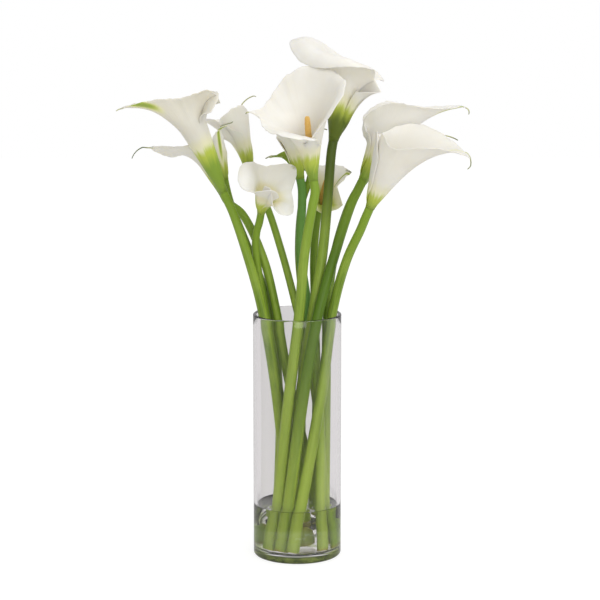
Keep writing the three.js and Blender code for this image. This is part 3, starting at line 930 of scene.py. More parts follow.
@dataclass(frozen=True)
class WaterFinish(ClearFinish):
    """Water with a few ripples, and a painted green reflection of the stems at its sides."""

    tint: Colour = (0.985, 0.99, 0.98)
    index: float = 1.33
    # painted green reflection of the stems
    green: Colour = (0.50, 0.64, 0.18)
    reflection_band: tuple[float, float] = (0.055, 0.057)  # height where the painted green reflection fades out
    sides: tuple[float, float] = (0.030, 0.043)  # distance from the middle where it begins
    ripple_size: float = 0.02
    foam_scale: float = 560
    foam_left: tuple[float, float] = (-0.034, -0.012)  # the foam is at the left
    foam_back: tuple[float, float] = (-0.004, 0.012)  # and at the back
    foam_height: float = 26
    bump_strength: float = 0.05
    bump_distance: float = 0.0008

    def clear(self, bench: FinishBench) -> Node:
        """The clear shader, with the painted green reflection at the sides, and the ripples.

        Args:
            bench: Where the nodes go.

        Returns:
            The node of the shader.
        """
        place = bench.place()
        spot = bench.parts(place)
        # painted reflection of the stems' green at the sides, below the surface
        aside = bench.span(bench.math("ABSOLUTE", spot["X"]), *self.sides)
        sides = bench.times(bench.span(spot["Z"], *self.reflection_band, 1, 0), aside)
        cells = bench.node("ShaderNodeTexVoronoi", Vector=place, Scale=self.foam_scale)
        left = bench.span(spot["X"], *self.foam_left, 1, 0)
        there = bench.times(left, bench.span(spot["Y"], *self.foam_back))
        foam = bench.times(bench.times(cells.outputs["Distance"], there), self.foam_height)
        height = bench.math("ADD", bench.mottle(self.ripple_size), foam)
        return bench.connect(
            super().clear(bench),
            Base_Color=bench.mix(sides, self.tint, self.green),
            Normal=bench.bump(height, self.bump_strength, self.bump_distance),
        )


# ------------------------------------------------------------------ geometry nodes
class GeometryBench(ShaderBench):
    """Wires the nodes of one geometry tree and applies it to a piece.

    Args:
        name: Name of the tree.
        inputs: Name and usual value of each input, whole numbers and fractions apart.
    """

    def __init__(self, name: str, inputs: dict[str, float | int]) -> None:
        """Makes the tree with its inputs and its output."""
        super().__init__(bpy.data.node_groups.new(name, "GeometryNodeTree"))
        face = self.tree.interface
        face.new_socket("Geometry", in_out="INPUT", socket_type="NodeSocketGeometry")
        face.new_socket("Finish", in_out="INPUT", socket_type="NodeSocketMaterial")
        for key, value in inputs.items():
            kind = "NodeSocketInt" if isinstance(value, int) else "NodeSocketFloat"
            face.new_socket(key, in_out="INPUT", socket_type=kind).default_value = value
        face.new_socket("Geometry", in_out="OUTPUT", socket_type="NodeSocketGeometry")
        self.keys = {
            item.name: item.identifier for item in face.items_tree if item.in_out == "INPUT"
        }
        self.asked = self.node("NodeGroupInput").outputs
        self.end = self.node("NodeGroupOutput")

    def keep(self, geometry: Socket, value: Socket) -> tuple[Socket, Socket]:
        """Captures a number on a curve's points, and returns the curve and the number."""
        made = self.node("GeometryNodeCaptureAttribute")
        made.capture_items.new("FLOAT", "Value")
        return self.in_order(made, geometry, value), made.outputs[1]

    def store(self, geometry: Socket, name: str, value: Socket) -> Socket:
        """Stores a number on each vertex under a name."""
        made = self.node(
            "GeometryNodeStoreNamedAttribute", {"data_type": "FLOAT", "domain": "POINT"},
            Geometry=geometry, Name=name, Value=value,
        )
        return made.outputs[0]

    def close(self, geometry: Socket) -> None:
        """Ends the tree with plain, smooth faces of one finish.

        Args:
            geometry: The geometry that the tree has made.
        """
        plain = self.node("GeometryNodeRealizeInstances", Geometry=geometry)
        even = self.node("GeometryNodeSetShadeSmooth", Geometry=plain.outputs[0]).outputs[0]
        kind, finish = "GeometryNodeSetMaterial", self.asked["Finish"]
        dressed = self.node(kind, Geometry=even, Material=finish)
        self.connect(self.end, Geometry=dressed.outputs[0])

    def apply(self, piece: Object, finish: Material, **values: float | int) -> Object:
        """Runs the tree on a piece and leaves the result as its plain mesh.

        Args:
            piece: The object whose mesh goes in.
            finish: The material of the result.
            **values: The tree's inputs, _ standing for a space.

        Returns:
            The same object.
        """
        modifier = piece.modifiers.new(self.tree.name, "NODES")
        modifier.node_group = self.tree
        modifier[self.keys["Finish"]] = finish
        for key, value in values.items():
            modifier[self.keys[key.replace("_", " ")]] = value
        scene_now = bpy.context.evaluated_depsgraph_get()
        mesh = bpy.data.meshes.new_from_object(piece.evaluated_get(scene_now))
        piece.modifiers.remove(modifier)
        old, piece.data = piece.data, mesh
        bpy.data.meshes.remove(old)
        mesh.name = piece.name
        return piece


def stem_tree() -> GeometryBench:
    """Tree that sweeps a ribbed, tapering rod along a path of points."""
    usual = {"Foot Radius": 0.006, "Top Radius": 0.005, "Sides": 40, "Rib Depth": 0.0002}
    bench = GeometryBench("Stem along a path", {**usual, "Ribs": 9.0, "Rib Waver": 9.0})
    asked = bench.asked
    path = bench.node("GeometryNodeMeshToCurve", Mesh=asked["Geometry"]).outputs[0]
    share = bench.node("GeometryNodeSplineParameter").outputs
    taper = bench.math("SUBTRACT", asked["Top Radius"], asked["Foot Radius"])
    radius = bench.math("ADD", asked["Foot Radius"], bench.times(taper, share["Factor"]))
    path, along = bench.keep(path, share["Length"])
    path, factor = bench.keep(path, share["Factor"])
    kind = "GeometryNodeCurvePrimitiveCircle"
    ring = bench.node(kind, Resolution=asked["Sides"], Radius=1.0).outputs[0]
    ring, around = bench.keep(ring, bench.node("GeometryNodeSplineParameter").outputs["Factor"])
    kind = "GeometryNodeCurveToMesh"
    rod = bench.node(kind, Curve=path, Profile_Curve=ring, Scale=radius, Fill_Caps=True).outputs[0]
    spot = bench.rolled(around, asked["Ribs"], bench.times(along, asked["Rib Waver"]))
    rough = bench.noise(spot, Scale=1.0, Detail=1.0)
    depth = bench.times(bench.math("SUBTRACT", rough, 0.5), asked["Rib Depth"])
    shift = bench.node("ShaderNodeVectorMath", {"operation": "SCALE"}, Scale=depth)
    shift = bench.in_order(shift, bench.node("GeometryNodeInputNormal").outputs[0])
    rod = bench.node("GeometryNodeSetPosition", Geometry=rod, Offset=shift).outputs[0]
    for name, value in (("along", along), ("share", factor), ("around", around)):
        rod = bench.store(rod, name, value)
    bench.close(rod)
    return bench


def floret_tree() -> GeometryBench:
    """Tree that covers a finger with tiny round flowers."""
    usual = {"Spacing": 0.001, "Floret Radius": 0.0007, "Most Florets": 2.0e6, "Seed": 3}
    bench = GeometryBench("Florets on a finger", usual)
    asked = bench.asked
    spread = bench.node(
        "GeometryNodeDistributePointsOnFaces", {"distribute_method": "POISSON"},
        Mesh=asked["Geometry"], Distance_Min=asked["Spacing"],
        Density_Max=asked["Most Florets"], Seed=asked["Seed"],
    ).outputs
    kind, size = "GeometryNodeMeshIcoSphere", asked["Floret Radius"]
    bead = bench.node(kind, Radius=size, Subdivisions=1).outputs[0]
    beads = bench.node(
        "GeometryNodeInstanceOnPoints",
        Points=spread["Points"], Instance=bead, Rotation=spread["Rotation"],
    )
    joined = bench.node("GeometryNodeJoinGeometry", Geometry=beads.outputs[0])
    bench.close(bench.connect(joined, Geometry=asked["Geometry"]).outputs[0])
    return bench


# ------------------------------------------------------------------ flowers
@dataclass(frozen=True)
class Meridians:
    """Outlines of a sheet from the stem outwards, one for each column."""

    share: np.ndarray  # place of each column from -1 to 1, the tip at 0
    away: np.ndarray  # its angle from the tip
    sheet: np.ndarray  # its length without the awn
    length: np.ndarray  # its length with the awn
    point: np.ndarray  # how far it belongs to the point, up to 1
    point_length: float  # length of the point and the awn
    radius: np.ndarray  # distance from the axis after each step
    height: np.ndarray  # height after each step


@dataclass
class Spathe:
    """White sheet of one flower, rolled into a funnel with a pointed tip.

    Sizes are in millimetres and degrees. A share named t runs from 0 at the stem to 1 at
    the end of a column.
    """

    plan: FlowerPlan
    columns: int = 112  # strips all round
    rows: int = 60  # strips from the stem to the rim
    steps: int = 96  # steps of a meridian
    column_gather: float = 1.8  # how closely the columns gather at the tip
    row_gather: float = 0.8  # how closely the rows gather at the rim
    back_power: float = 0.9  # how evenly the length grows towards the tip's side
    curl_power: float = 1.2  # how late the margin curls
    half_turn: float = 178  # how far the closed tube goes round to each side
    lift: float = 0.5  # height of the sheet's foot over the end of the stem
    sink: float = 2.5  # how far its edge is drawn down over the stem again
    foot_thick: float = 1.3  # thickness at the stem
    rim_thick: float = 0.8  # thickness at the rim
    edge_thin: float = 0.35  # share of the thickness that the foot's edge keeps
    point_thin: float = 0.45  # share of the thickness that the point loses
    margin_gap: float = 1.7  # space between the margins where they overlap
    corner_from: float = 0.8  # where the free corners begin, from the tip round to the front
    awn_width: float = 4  # how far the awn's root reaches to each side
    point_width: float = 14  # how far the point's curl reaches to each side
    thread_sink: float = 4  # how deep the awn's rod begins inside the point
    thread_steps: int = 14  # points of the rod in the sheet's line
    hook_steps: int = 12  # further points of the rod
    thread_sides: int = 8
    thread_radius: float = 0.85
    thread_taper: float = 0.4

    def shares(self) -> np.ndarray:
        """Place of each column from -1 to 1, the tip at 0."""
        even = np.linspace(-1, 1, self.columns + 1)
        return np.sign(even) * np.abs(even) ** self.column_gather

    def meridians(self) -> Meridians:
        """Works out the outlines of the sheet, in steps along each column."""
        plan, share = self.plan, self.shares()
        away = np.abs(180 * share)
        lop = np.sin(np.radians(180 * share))
        back = (1 + np.cos(np.radians(away))) / 2
        side = np.sin(np.radians(away)) ** 2

        def all_round(sizes: Round, back: np.ndarray) -> np.ndarray:
            """A size at every column."""
            front, rear, sides, one_side = sizes
            return front + (rear - front) * back + sides * side + one_side * lop

        limb = all_round(plan.limb, back**self.back_power)
        lobes = (1 - np.cos(np.radians(plan.lobes * away))) / 2
        limb = limb * (1 - plan.lobe_depth * lobes)
        corner = (away / 180 - self.corner_from) / (1 - self.corner_from)
        limb = limb * (1 - plan.cut * smooth(corner))
        sheet = limb + plan.tip * np.exp(-away / plan.tip_width)
        length = sheet + plan.awn * np.clip(1 - away / self.awn_width, 0, 1)
        flare = all_round(plan.flare, back) - plan.funnel
        curl = all_round(plan.curl, back)
        point = bell(away, self.point_width)
        point_length = plan.tip / 2 + plan.awn
        s = (np.arange(self.steps)[:, None] + 0.5) / self.steps * length
        pointed = np.clip((s - length.max() + point_length) / point_length, 0, 1)
        opened = np.clip((s - plan.tube) / (limb - plan.tube), 0, 1) ** plan.rise
        rolled = np.clip((s - limb + plan.curl_length) / plan.curl_length, 0, 1)
        slope = plan.funnel + flare * opened + curl * rolled**self.curl_power
        slope = np.radians(slope + plan.tip_curl * point * pointed)
        step = length / self.steps
        start = np.zeros((1, len(share)))
        radius = plan.radii[1] + np.vstack([start, np.cumsum(np.sin(slope) * step, 0)])
        height = self.lift + np.vstack([start, np.cumsum(np.cos(slope) * step, 0)])
        return Meridians(share, away, sheet, length, point, point_length, radius, height)

    def surface(self) -> tuple[np.ndarray, dict[str, np.ndarray]]:
        """Works out the middle surface of the sheet.

        Returns:
            Rows of points in millimetres, and for each mask of the finish its value there.
        """
        plan, made = self.plan, self.meridians()
        length = made.length
        t = ((np.arange(self.rows + 1) / self.rows) ** self.row_gather)[:, None]
        t = t * made.sheet / length
        s = t * length
        points = self.spots(made, np.arange(len(length)), t)
        to_tip = length[len(length) // 2] - s
        # painted shade in the throat, in a band just above the green foot
        inside = smooth((s - plan.green) / 6) * smooth((plan.green + 18 - s) / 10)
        strength, keel_at, wide = plan.keel
        keel = strength * bell(180 * made.share - keel_at, wide * (3 + 5 * (1 - t)))
        on_awn = smooth(1 - to_tip / max(plan.awn, 6)) * (made.away < self.awn_width + 0.5)
        masks = {
            "along": s * MM,
            "around": (made.share + 1) / 2,
            "foot": (plan.green - s) / 16,
            "olive": np.array(plan.olive),
            # the age mask also carries painted shade
            "age": np.array(plan.age),
            # painted shade in the throat
            "throat_shade": plan.throat_shade * inside,
            "keel": keel * (1 - smooth((to_tip - 20) / 45)),
            "awn_tone": plan.awn_tone * on_awn,
        }
        return points, {key: np.broadcast_to(value, s.shape) for key, value in masks.items()}

    def spots(self, made: Meridians, column: np.ndarray, t: np.ndarray) -> np.ndarray:
        """Works out places on the middle surface.

        Args:
            made: The outlines of the sheet.
            column: Column of each point.
            t: Share of the column's length at each point.

        Returns:
            Positions in millimetres.
        """
        plan, share, length = self.plan, made.share[column], made.length[column]
        column = np.broadcast_to(column, t.shape)
        place = t * self.steps
        low = np.minimum(place.astype(int), self.steps - 1)
        part = place - low
        radius, height = (
            track[low, column] * (1 - part) + track[low + 1, column] * part
            for track in (made.radius, made.height)
        )
        half = self.half_turn + plan.overlap * smooth((t - 0.08) / 0.35)
        around = np.radians(share * half + plan.skew * (1 - np.abs(share)))
        # The ruffle grows towards the rim and leaves the point alone.
        ruffle = plan.ruffle * (t**9 * (1 - bell(made.away[column], 12)))
        reach = radius + self.margin_gap * smooth(t / 0.12) * share / 2
        reach = reach + ruffle * np.sin(11 * around + plan.bend_to)
        end = made.point_length
        pointed = np.clip(((t - 1) * length + end) / end, 0, 1)
        x = reach * np.cos(around)
        y = reach * np.sin(around) + plan.swing * made.point[column] * pointed**2
        height = height + plan.wave * t**3 * np.sin(3 * around + math.radians(plan.wave_turn))
        height = height + ruffle * (np.sin(19 * around + plan.lean_to) + 0.6 * np.sin(31 * around))
        height = height - self.sink * (1 - smooth(t / 0.04))
        return self.placed(np.stack([x, y, height], -1))

    def thread(self) -> np.ndarray:
        """Centre line of the awn, from inside the sheet's point to its own end."""
        plan, made = self.plan, self.meridians()
        middle = self.columns // 2
        length, sheet = made.length[middle], made.sheet[middle]
        reach, kink, turn = plan.hook
        t = np.linspace(sheet - self.thread_sink, length - plan.loose, self.thread_steps) / length
        line = self.spots(made, np.array(middle), t)
        way = unit(line[-1] - line[-3])
        step = (reach + plan.loose) / self.hook_steps
        for i in range(self.hook_steps):
            angle = math.radians(kink + turn * (i + 1) / self.hook_steps)
            c, w = math.cos(angle), math.sin(angle)
            bent = np.array([way[0] * c - way[2] * w, way[1], way[0] * w + way[2] * c])
            line = np.vstack([line, line[-1] + bent * step])
        return line

    def placed(self, points: np.ndarray) -> np.ndarray:
        """Bends points of an upright flower and places them on its stem.

        Args:
            points: Positions round the Z axis, in millimetres, the tip towards +X.

        Returns:
            The positions in the bunch.
        """
        plan = self.plan
        if plan.bend:
            turn, rate = math.radians(plan.bend_to), math.radians(plan.bend) / plan.limb[1]
            cosine, sine = math.cos(turn), math.sin(turn)
            swing = rate * points[..., 2]
            along = points[..., 0] * cosine + points[..., 1] * sine
            across = points[..., 1] * cosine - points[..., 0] * sine
            out = (1 - np.cos(swing)) / rate + along * np.cos(swing)
            up = np.sin(swing) / rate - along * np.sin(swing)
            x, y = out * cosine - across * sine, out * sine + across * cosine
            points = np.stack([x, y, up], -1)
        axis = leaning(plan.lean, plan.lean_to)
        tip = leaning(90, plan.tip_to)
        tip = unit(tip - axis * (tip @ axis))
        return points @ np.stack([tip, np.cross(axis, tip), axis]) + np.array(plan.stem[-1])

    def sheet_points(self, middle: np.ndarray) -> np.ndarray:
        """Gives the middle surface a thickness with round edges.

        Args:
            middle: Rows of points of the middle surface.

        Returns:
            Rows of the outside, the rim and the inside, then the two margins.
        """
        up, along = np.gradient(middle, axis=0), np.gradient(middle, axis=1)
        normal = unit(np.cross(along, up))
        t = np.linspace(0, 1, self.rows + 1)[:, None, None]
        half = (self.foot_thick + (self.rim_thick - self.foot_thick) * t) / 2
        half = half * (self.edge_thin + (1 - self.edge_thin) * smooth(t / 0.12))
        point = bell(self.shares() * 180, 9)[None, :, None]
        half = half * (1 - self.point_thin * point * smooth((t - 0.75) / 0.25))
        outer, inner = middle + normal * half, middle - normal * half
        rim = middle[-1] + unit(up[-1]) * half[-1]
        left = middle[:-1, 0] - unit(along[:-1, 0]) * half[:-1, 0]
        right = middle[:-1, -1] + unit(along[:-1, -1]) * half[:-1, -1]
        return np.vstack([outer.reshape(-1, 3), rim, inner[::-1].reshape(-1, 3), left, right])

    def sheet_faces(self) -> list[Face]:
        """Faces of the closed sheet over the rows that `sheet_points` gives."""
        wide, count = self.columns + 1, 2 * self.rows + 3
        faces: list[Face] = []
        for first in range(0, (count - 1) * wide, wide):
            for a in range(first, first + self.columns):
                faces.append((a, a + 1, a + wide + 1, a + wide))
        last = (count - 1) * wide
        faces += [(last + j, last + j + 1, j + 1, j) for j in range(self.columns)]
        left, right = count * wide, count * wide + self.rows
        for i in range(self.rows):
            for column, start in ((0, left), (self.columns, right)):
                low, high = start + i, start + i + 1
                if i == self.rows - 1:
                    high = (self.rows + 1) * wide + column
                out, within = i * wide + column, (count - 1 - i) * wide + column
                pair = [(out, out + wide, high, low), (low, high, within - wide, within)]
                faces += [face[::-1] for face in pair] if column else pair
        faces.append((left, last, 0))
        faces.append((self.columns, last + self.columns, right))
        return faces

    def build(self, finish: Material) -> Object:
        """Makes the sheet with its awn, as one piece.

        Args:
            finish: The petals' material.

        Returns:
            The piece, with a value of every mask at each vertex.
        """
        middle, masks = self.surface()
        sheet, line = self.sheet_points(middle), self.thread()
        run = np.linspace(0, 1, len(line))
        radii = self.thread_radius - self.thread_taper * run
        rod, rod_faces = thin_rod(line, radii, self.thread_sides)
        faces = self.sheet_faces()
        faces += [tuple(corner + len(sheet) for corner in face) for face in rod_faces]
        piece = new_piece(f"{self.plan.name}_bloom", np.vstack([sheet, rod]), faces)
        dark = 0.2 + (self.plan.awn_tone - 0.2) * smooth(run / 0.6)
        on_rod = {"keel": 0.5 + 0 * run, "awn_tone": dark, "foot": run - 9}
        for key, mask in masks.items():
            parts = [mask.ravel(), mask[-1], mask[::-1].ravel(), mask[:-1, 0], mask[:-1, -1]]
            rod_part = np.repeat(on_rod.get(key, 0 * run), self.thread_sides)
            keep_value(piece, key, np.concatenate([*parts, rod_part]))
        piece.data.materials.append(finish)
        return piece


@dataclass
class Stem:
    """Round stem of one flower, from its foot in the water to the flower."""

    plan: FlowerPlan
    steps: int = 120  # steps along the stem
    fine_steps: int = 60  # steps between two points of the plan, before they are evened out
    neck: float = 14  # straight end below the flower, in millimetres

    def path(self) -> np.ndarray:
        """Evenly spaced points of the centre line, in millimetres."""
        given = [np.array(point, float) for point in self.plan.stem]
        given.insert(-1, given[-1] - leaning(self.plan.lean, self.plan.lean_to) * self.neck)
        ends = [2 * given[0] - given[1], *given, 2 * given[-1] - given[-2]]
        fine: list[np.ndarray] = []
        for i in range(len(given) - 1):
            a, b, c, d = ends[i : i + 4]
            gaps = [max(np.linalg.norm(q - p) ** 0.5, 1e-4) for p, q in ((a, b), (b, c), (c, d))]
            before, here, after = gaps
            first = ((b - a) / before - (c - a) / (before + here) + (c - b) / here) * here
            second = ((c - b) / here - (d - b) / (here + after) + (d - c) / after) * here
            square = 3 * (c - b) - 2 * first - second
            cube = first + second - 2 * (c - b)
            for x in np.linspace(0, 1, self.fine_steps, endpoint=i == len(given) - 2):
                fine.append(b + first * x + square * x**2 + cube * x**3)
        line = np.array(fine)
        run = np.concatenate([[0], np.cumsum(np.linalg.norm(np.diff(line, axis=0), axis=1))])
        even = np.linspace(0, run[-1], self.steps + 1)
        return np.stack([np.interp(even, run, line[:, k]) for k in range(3)], 1)

    def build(self, tree: GeometryBench, finish: Material) -> Object:
        """Sweeps the rod along the path.

        Args:
            tree: The stems' tree.
            finish: The stem's material.

        Returns:
            The piece.
        """
        mesh = bpy.data.meshes.new(self.plan.name)
        edges = [(i, i + 1) for i in range(self.steps)]
        mesh.from_pydata((self.path() * MM).tolist(), edges, [])
        piece = linked(f"{self.plan.name}_stalk", mesh)
        foot, top = (radius * MM for radius in self.plan.radii)
        tree.apply(piece, finish, Foot_Radius=foot, Top_Radius=top)
        keep_value(piece, "tone", np.full(len(piece.data.vertices), self.plan.tone))
        return piece


@dataclass
class Spadix:
    """Finger of one flower, a blunt rod covered with tiny flowers. Sizes in millimetres."""

    spathe: Spathe
    widest: float = 3.4  # largest radius
    space: float = 1.6  # space to the radius of the stem's top
    floret: float = 0.3  # how much the tiny flowers add
    start: float = 0.3  # height of its foot
    foot_share: float = 0.7  # radius of the foot against the finger's
    straight: float = 0.25  # share of its height that is straight
    steps: int = 24
    sides: int = 24

    def build(self, tree: GeometryBench, finish: Material) -> Object:
        """Makes the finger along the bent axis and covers it.

        Args:
            tree: The florets' tree.
            finish: The finger's material.

        Returns:
            The piece.
        """
        plan = self.spathe.plan
        radius = min(self.widest, plan.radii[1] - self.space) - self.floret
        profile = [(0.0, self.start), (radius * self.foot_share, self.start)]
        for i in range(self.steps):
            share = i / self.steps
            rise = self.straight + (1 - self.straight) * math.sin(share * math.pi / 2)
            profile.append((radius * math.sqrt(1 - share**4), plan.spadix * rise))
        profile.append((0.0, plan.spadix))
        points, faces = turned(profile, self.sides)
        piece = new_piece(f"{plan.name}_finger", self.spathe.placed(points), faces)
        return tree.apply(piece, finish)


# ------------------------------------------------------------------ vase and water
@dataclass
class Vase:
    """Clear glass cylinder with a thick base. Sizes in millimetres."""

    radius: float = 50
    height: float = 280
    wall: float = 4  # thickness of the glass
    base: float = 10  # thickness of the base
    rim_round: float = 1.6  # radius of the rim's rounding
    foot_round: float = 4  # the same outside at the foot
    corner: float = 2.5  # the same inside at the base
    hollow: tuple[float, float] = (1.2, 1.0)  # height of the underside at its middle, and further out
    sag: tuple[float, float] = (0.4, 0.6)  # how far the base sinks halfway in and at its middle
    wall_steps: int = 24
    segments: int = 192

    def build(self, finish: Material) -> Object:
        """Turns the wall, the rounded rim and the thick base in one piece.

        Args:
            finish: The glass.

        Returns:
            The piece.
        """
        inner, low = self.radius - self.wall, self.height - self.rim_round
        foot, rim, corner = self.foot_round, self.rim_round, self.corner
        profile = [(0.0, self.hollow[0]), (self.radius * 0.6, self.hollow[1])]
        profile += [(self.radius - foot - 3, 0.0)]
        profile += quarter_round(self.radius - foot, foot, foot, -90)
        profile += [(self.radius, z) for z in np.linspace(foot, low, self.wall_steps)[1:-1]]
        profile += quarter_round(self.radius - rim, low, rim, 0)
        profile += quarter_round(inner + rim, low, rim, 90)
        inside = np.linspace(low, self.base + corner, self.wall_steps)[1:]
        profile += [(inner, z) for z in inside]
        profile += quarter_round(inner - corner, self.base + corner, corner, -90)[-2::-1]
        profile += [(inner * 0.5, self.base - self.sag[0]), (0.0, self.base - self.sag[1])]
        points, faces = turned(profile, self.segments)
        piece = new_piece("vase_glass", points, faces)
        piece.data.materials.append(finish)
        return piece


@dataclass
class Water:
    """Water in the foot of the vase, which creeps up the glass and the stems.

    Sizes are in millimetres. A creep is the height of the water at something that it
    touches, and the distance over which it falls to about a third.
    """

    vase: Vase
    stems: list[Stem]
    level: float = 58
    sunk: float = 0.35  # how far it reaches into the glass
    glass_creep: tuple[float, float] = (2.2, 1.6)
    stem_creep: tuple[float, float] = (1.4, 1.4)
    gather: float = 1.4  # how closely the rings gather at the glass
    rings: int = 70
    segments: int = 160

    def stem_spots(self) -> list[tuple[float, float, float]]:
        """Place and radius of each stem where it passes the water's surface."""
        spots = []
        for stem in self.stems:
            line = stem.path()
            x, y = (float(np.interp(self.level, line[:, 2], line[:, k])) for k in (0, 1))
            spots.append((x, y, stem.plan.radii[0]))
        return spots

    def build(self, finish: Material) -> Object:
        """Makes the closed body, whose top is a fine net.

        Args:
            finish: The water's material.

        Returns:
            The piece.
        """
        reach = self.vase.radius - self.vase.wall + self.sunk
        floor = self.vase.base - self.sunk - self.vase.sag[1]
        radii = reach * (1 - (1 - np.arange(self.rings + 1) / self.rings) ** self.gather)
        cosine, sine = circle(self.segments).T
        x, y = np.outer(radii[1:], cosine), np.outer(radii[1:], sine)
        creep, width = self.glass_creep
        rise = creep * np.exp(-(reach - np.hypot(x, y)) / width)
        creep, width = self.stem_creep
        for spot_x, spot_y, radius in self.stem_spots():
            off = np.maximum(np.hypot(x - spot_x, y - spot_y) - radius, 0)
            rise = np.maximum(rise, creep * np.exp(-off / width))
        top = np.stack([x, y, self.level + rise], -1).reshape(-1, 3)
        corner = top[-self.segments :].copy()
        corner[:, 2] = floor + self.vase.corner
        low = corner.copy()
        low[:, :2] *= (reach - self.vase.corner) / reach
        low[:, 2] = floor
        points = np.vstack([[[0, 0, self.level]], top, corner, low, [[0, 0, floor]]])
        faces = ring_faces(self.rings + 2, self.segments, downward=True)
        piece = new_piece("vase_water", points, faces)
        piece.data.materials.append(finish)
        return piece


# ------------------------------------------------------------------ the bunch
@dataclass
class Bunch:
    """The vase, its water and all the flowers."""

    plans: list[FlowerPlan]

    def settle(self, piece: Object, node: str) -> None:
        """Puts a piece in the place of a solid and reports it.

        Args:
            piece: The piece.
            node: Name of the solid.
        """
        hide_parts(node)
        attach(piece, "root")
        LOG.info("%s stands for %s: %d faces", piece.name, node, len(piece.data.polygons))

    def build(self) -> None:
        """Builds every piece in order."""
        effects = Effects()
        petal = PetalFinish("white petal").material(effects)
        finger = SpadixFinish("golden finger").material(effects)
        stems = {kind: finish.material(effects) for kind, finish in STEM_FINISHES.items()}
        along_path, florets = stem_tree(), floret_tree()
        vase = Vase()
        glass = GlassFinish("clear glass").material(effects)
        self.settle(vase.build(glass), "vase")
        rods = [Stem(plan) for plan in self.plans]
        water = Water(vase, rods).build(WaterFinish("water").material(effects))
        self.settle(water, "water")
        for plan, rod in zip(self.plans, rods):
            stem = rod.build(along_path, stems[plan.kind])
            self.settle(stem, f"{plan.name}_stem")
            spathe = Spathe(plan)
            self.settle(spathe.build(petal), f"{plan.name}_spathe")
            if plan.spadix:
                spadix = Spadix(spathe).build(florets, finger)
                self.settle(spadix, f"{plan.name}_spadix")


# ------------------------------------------------------------------ studio
@dataclass(frozen=True)
class Lamp:
    """Square soft light that faces the flowers. Sizes in metres, power in watts."""

    name: str
    spot: tuple[float, float, float]
    size: float
    power: float
    colour: Colour = WHITE

    def build(self, target: Vector) -> None:
        """Places the light.

        Args:
            target: The place that it faces.
        """
        data = bpy.data.lights.new(self.name, "AREA")
        data.size = self.size
        data.energy = self.power
        data.color = self.colour
        lamp = linked(self.name, data)
        lamp.location = self.spot
        lamp.rotation_mode = "QUATERNION"
        lamp.rotation_quaternion = (target - Vector(self.spot)).to_track_quat("-Z", "Y")


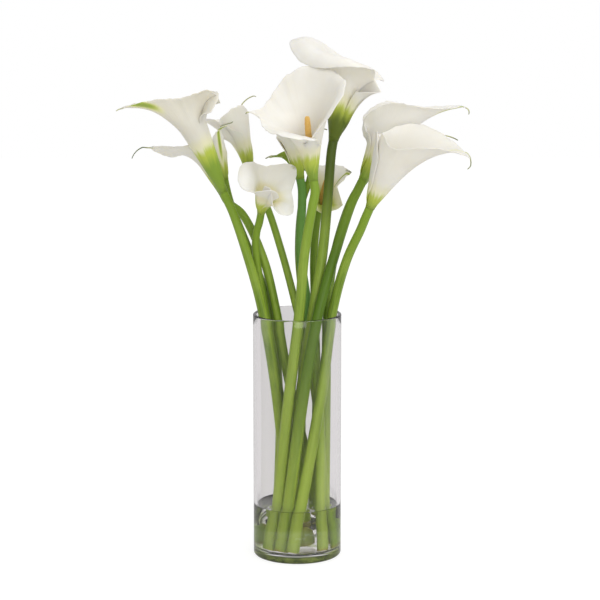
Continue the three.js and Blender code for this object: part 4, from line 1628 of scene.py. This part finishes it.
@dataclass
class Studio:
    """Camera, soft lights, pale floor and white surround. Sizes in metres.

    Camera rays see an even white. What passes the glass clearly sees a paler floor and
    surround than what the glass mirrors, and other things are lit by a third set.
    """

    eye: tuple[float, float, float] = (0.0032, -2.5569, 0.7460)
    pitch: float = 80  # of the camera, in degrees
    lens: float = 138  # in millimetres
    sensor: float = 36  # in millimetres
    farthest: float = 100
    target: tuple[float, float, float] = (0, 0, 0.35)  # what the lamps face
    floor_size: float = 8
    floor_front: tuple[float, float] = (-0.35, -0.08)  # Y where the mirrored front ends
    floor_mirrored: Colour = (0.18, 0.21, 0.12)
    floor_clear: Colour = (0.36, 0.355, 0.36)
    floor_lighting: Colour = (0.66, 0.655, 0.64)
    floor_own: Colour = (0.30, 0.30, 0.30)  # what the camera sees of its light and shadow
    floor_glow: float = 0.77
    sky: Fade = Fade(-0.1, 0.9, (0.56, 0.55, 0.57), (0.95, 0.95, 0.94))
    front: Colour = (0.34, 0.38, 0.24)  # of the mirrored dark front
    front_side: tuple[float, float] = (-0.4, 0.3)  # Y where it ends
    front_rise: tuple[float, float] = (0.1, 0.4)  # Z where it ends
    light: Fade = Fade(-0.5, 0.9, (0.80, 0.785, 0.75), (0.97, 0.97, 0.96))
    light_side: Fade = Fade(-0.8, 0.6, (0.80, 0.80, 0.78), (1.0, 1.0, 0.99))
    lamps: tuple[Lamp, ...] = (
        Lamp("key", (1.0, -1.3, 1.7), 1.0, 9, (1.0, 0.99, 0.97)),
        Lamp("top", (0.4, 0.2, 2.2), 1.3, 4),
        Lamp("front", (0.35, -2.2, 0.2), 1.2, 12),
    )

    def camera(self) -> None:
        """Camera at the photograph's viewing angle."""
        data = bpy.data.cameras.new("camera")
        data.lens = self.lens
        data.sensor_width = self.sensor
        data.clip_end = self.farthest
        camera = linked("camera", data)
        camera.location = self.eye
        camera.rotation_euler = (math.radians(self.pitch), 0, 0)
        bpy.context.scene.camera = camera

    def floor(self) -> None:
        """Pale floor that a light shadow may fall on."""
        half = self.floor_size / 2 / MM
        corners = [(-half, -half, 0), (half, -half, 0), (half, half, 0), (-half, half, 0)]
        ground = new_piece("floor", np.array(corners, float), [(0, 1, 2, 3)], even=False)
        material = bpy.data.materials.new("pale floor")
        bench = ShaderBench(emptied(material))
        path = bench.node("ShaderNodeLightPath").outputs
        far = bench.span(bench.parts(bench.place())["Y"], *self.floor_front)
        clear = bench.math("MAXIMUM", far, bench.math("LESS_THAN", path["Glossy Depth"], 0.5))
        seen = bench.mix(clear, self.floor_mirrored, self.floor_clear)

        def shining(colour: Paint, light: Paint, strength: float) -> Socket:
            """Matt surface that also gives off light."""
            matt = bench.node("ShaderNodeBsdfDiffuse", Color=colour).outputs[0]
            glow = bench.node("ShaderNodeEmission", Color=light, Strength=strength).outputs[0]
            return bench.in_order(bench.node("ShaderNodeAddShader"), matt, glow)

        colour = bench.mix(path["Is Diffuse Ray"], seen, self.floor_lighting)
        light = bench.mix(path["Is Diffuse Ray"], seen, BLACK)
        others = shining(colour, light, 1.0)
        eye = shining(self.floor_own, WHITE, self.floor_glow)
        surface = bench.choose(path["Is Camera Ray"], others, eye)
        bench.node("ShaderNodeOutputMaterial", Surface=surface)
        ground.data.materials.append(material)

    def surround(self) -> None:
        """White surround for the eye, and a softer one that lights the flowers."""
        world = bpy.data.worlds.new("surround")
        bench = ShaderBench(emptied(world))
        path = bench.node("ShaderNodeLightPath").outputs
        way = bench.parts(bench.place("Generated"))
        ahead = bench.span(way["Y"], *self.front_side, 1, 0)
        front = bench.times(ahead, bench.span(way["Z"], *self.front_rise, 1, 0))
        mirrored = bench.math("GREATER_THAN", path["Glossy Depth"], 0.5)
        sky = bench.mix(bench.times(front, mirrored), bench.fade(way["Z"], self.sky), self.front)
        side = bench.fade(way["X"], self.light_side)
        lit = bench.mix(1.0, bench.fade(way["Z"], self.light), side, "MULTIPLY")
        colour = bench.mix(path["Is Diffuse Ray"], sky, lit)
        soft = bench.node("ShaderNodeBackground", Color=colour, Strength=1.0).outputs[0]
        white = bench.node("ShaderNodeBackground", Color=WHITE, Strength=1.0).outputs[0]
        surface = bench.choose(path["Is Camera Ray"], soft, white)
        bench.node("ShaderNodeOutputWorld", Surface=surface)
        bpy.context.scene.world = world

    def build(self) -> None:
        """Sets up the whole studio."""
        self.camera()
        self.floor()
        self.surround()
        for lamp in self.lamps:
            lamp.build(Vector(self.target))
        bpy.context.scene.view_settings.view_transform = "Standard"


# ------------------------------------------------------------------ main
def main() -> None:
    """Builds the scene."""
    logging.basicConfig(level=logging.INFO, format="%(name)s: %(message)s")
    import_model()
    Studio().build()
    Bunch(FLOWERS).build()


if __name__ == "__main__":
    main()
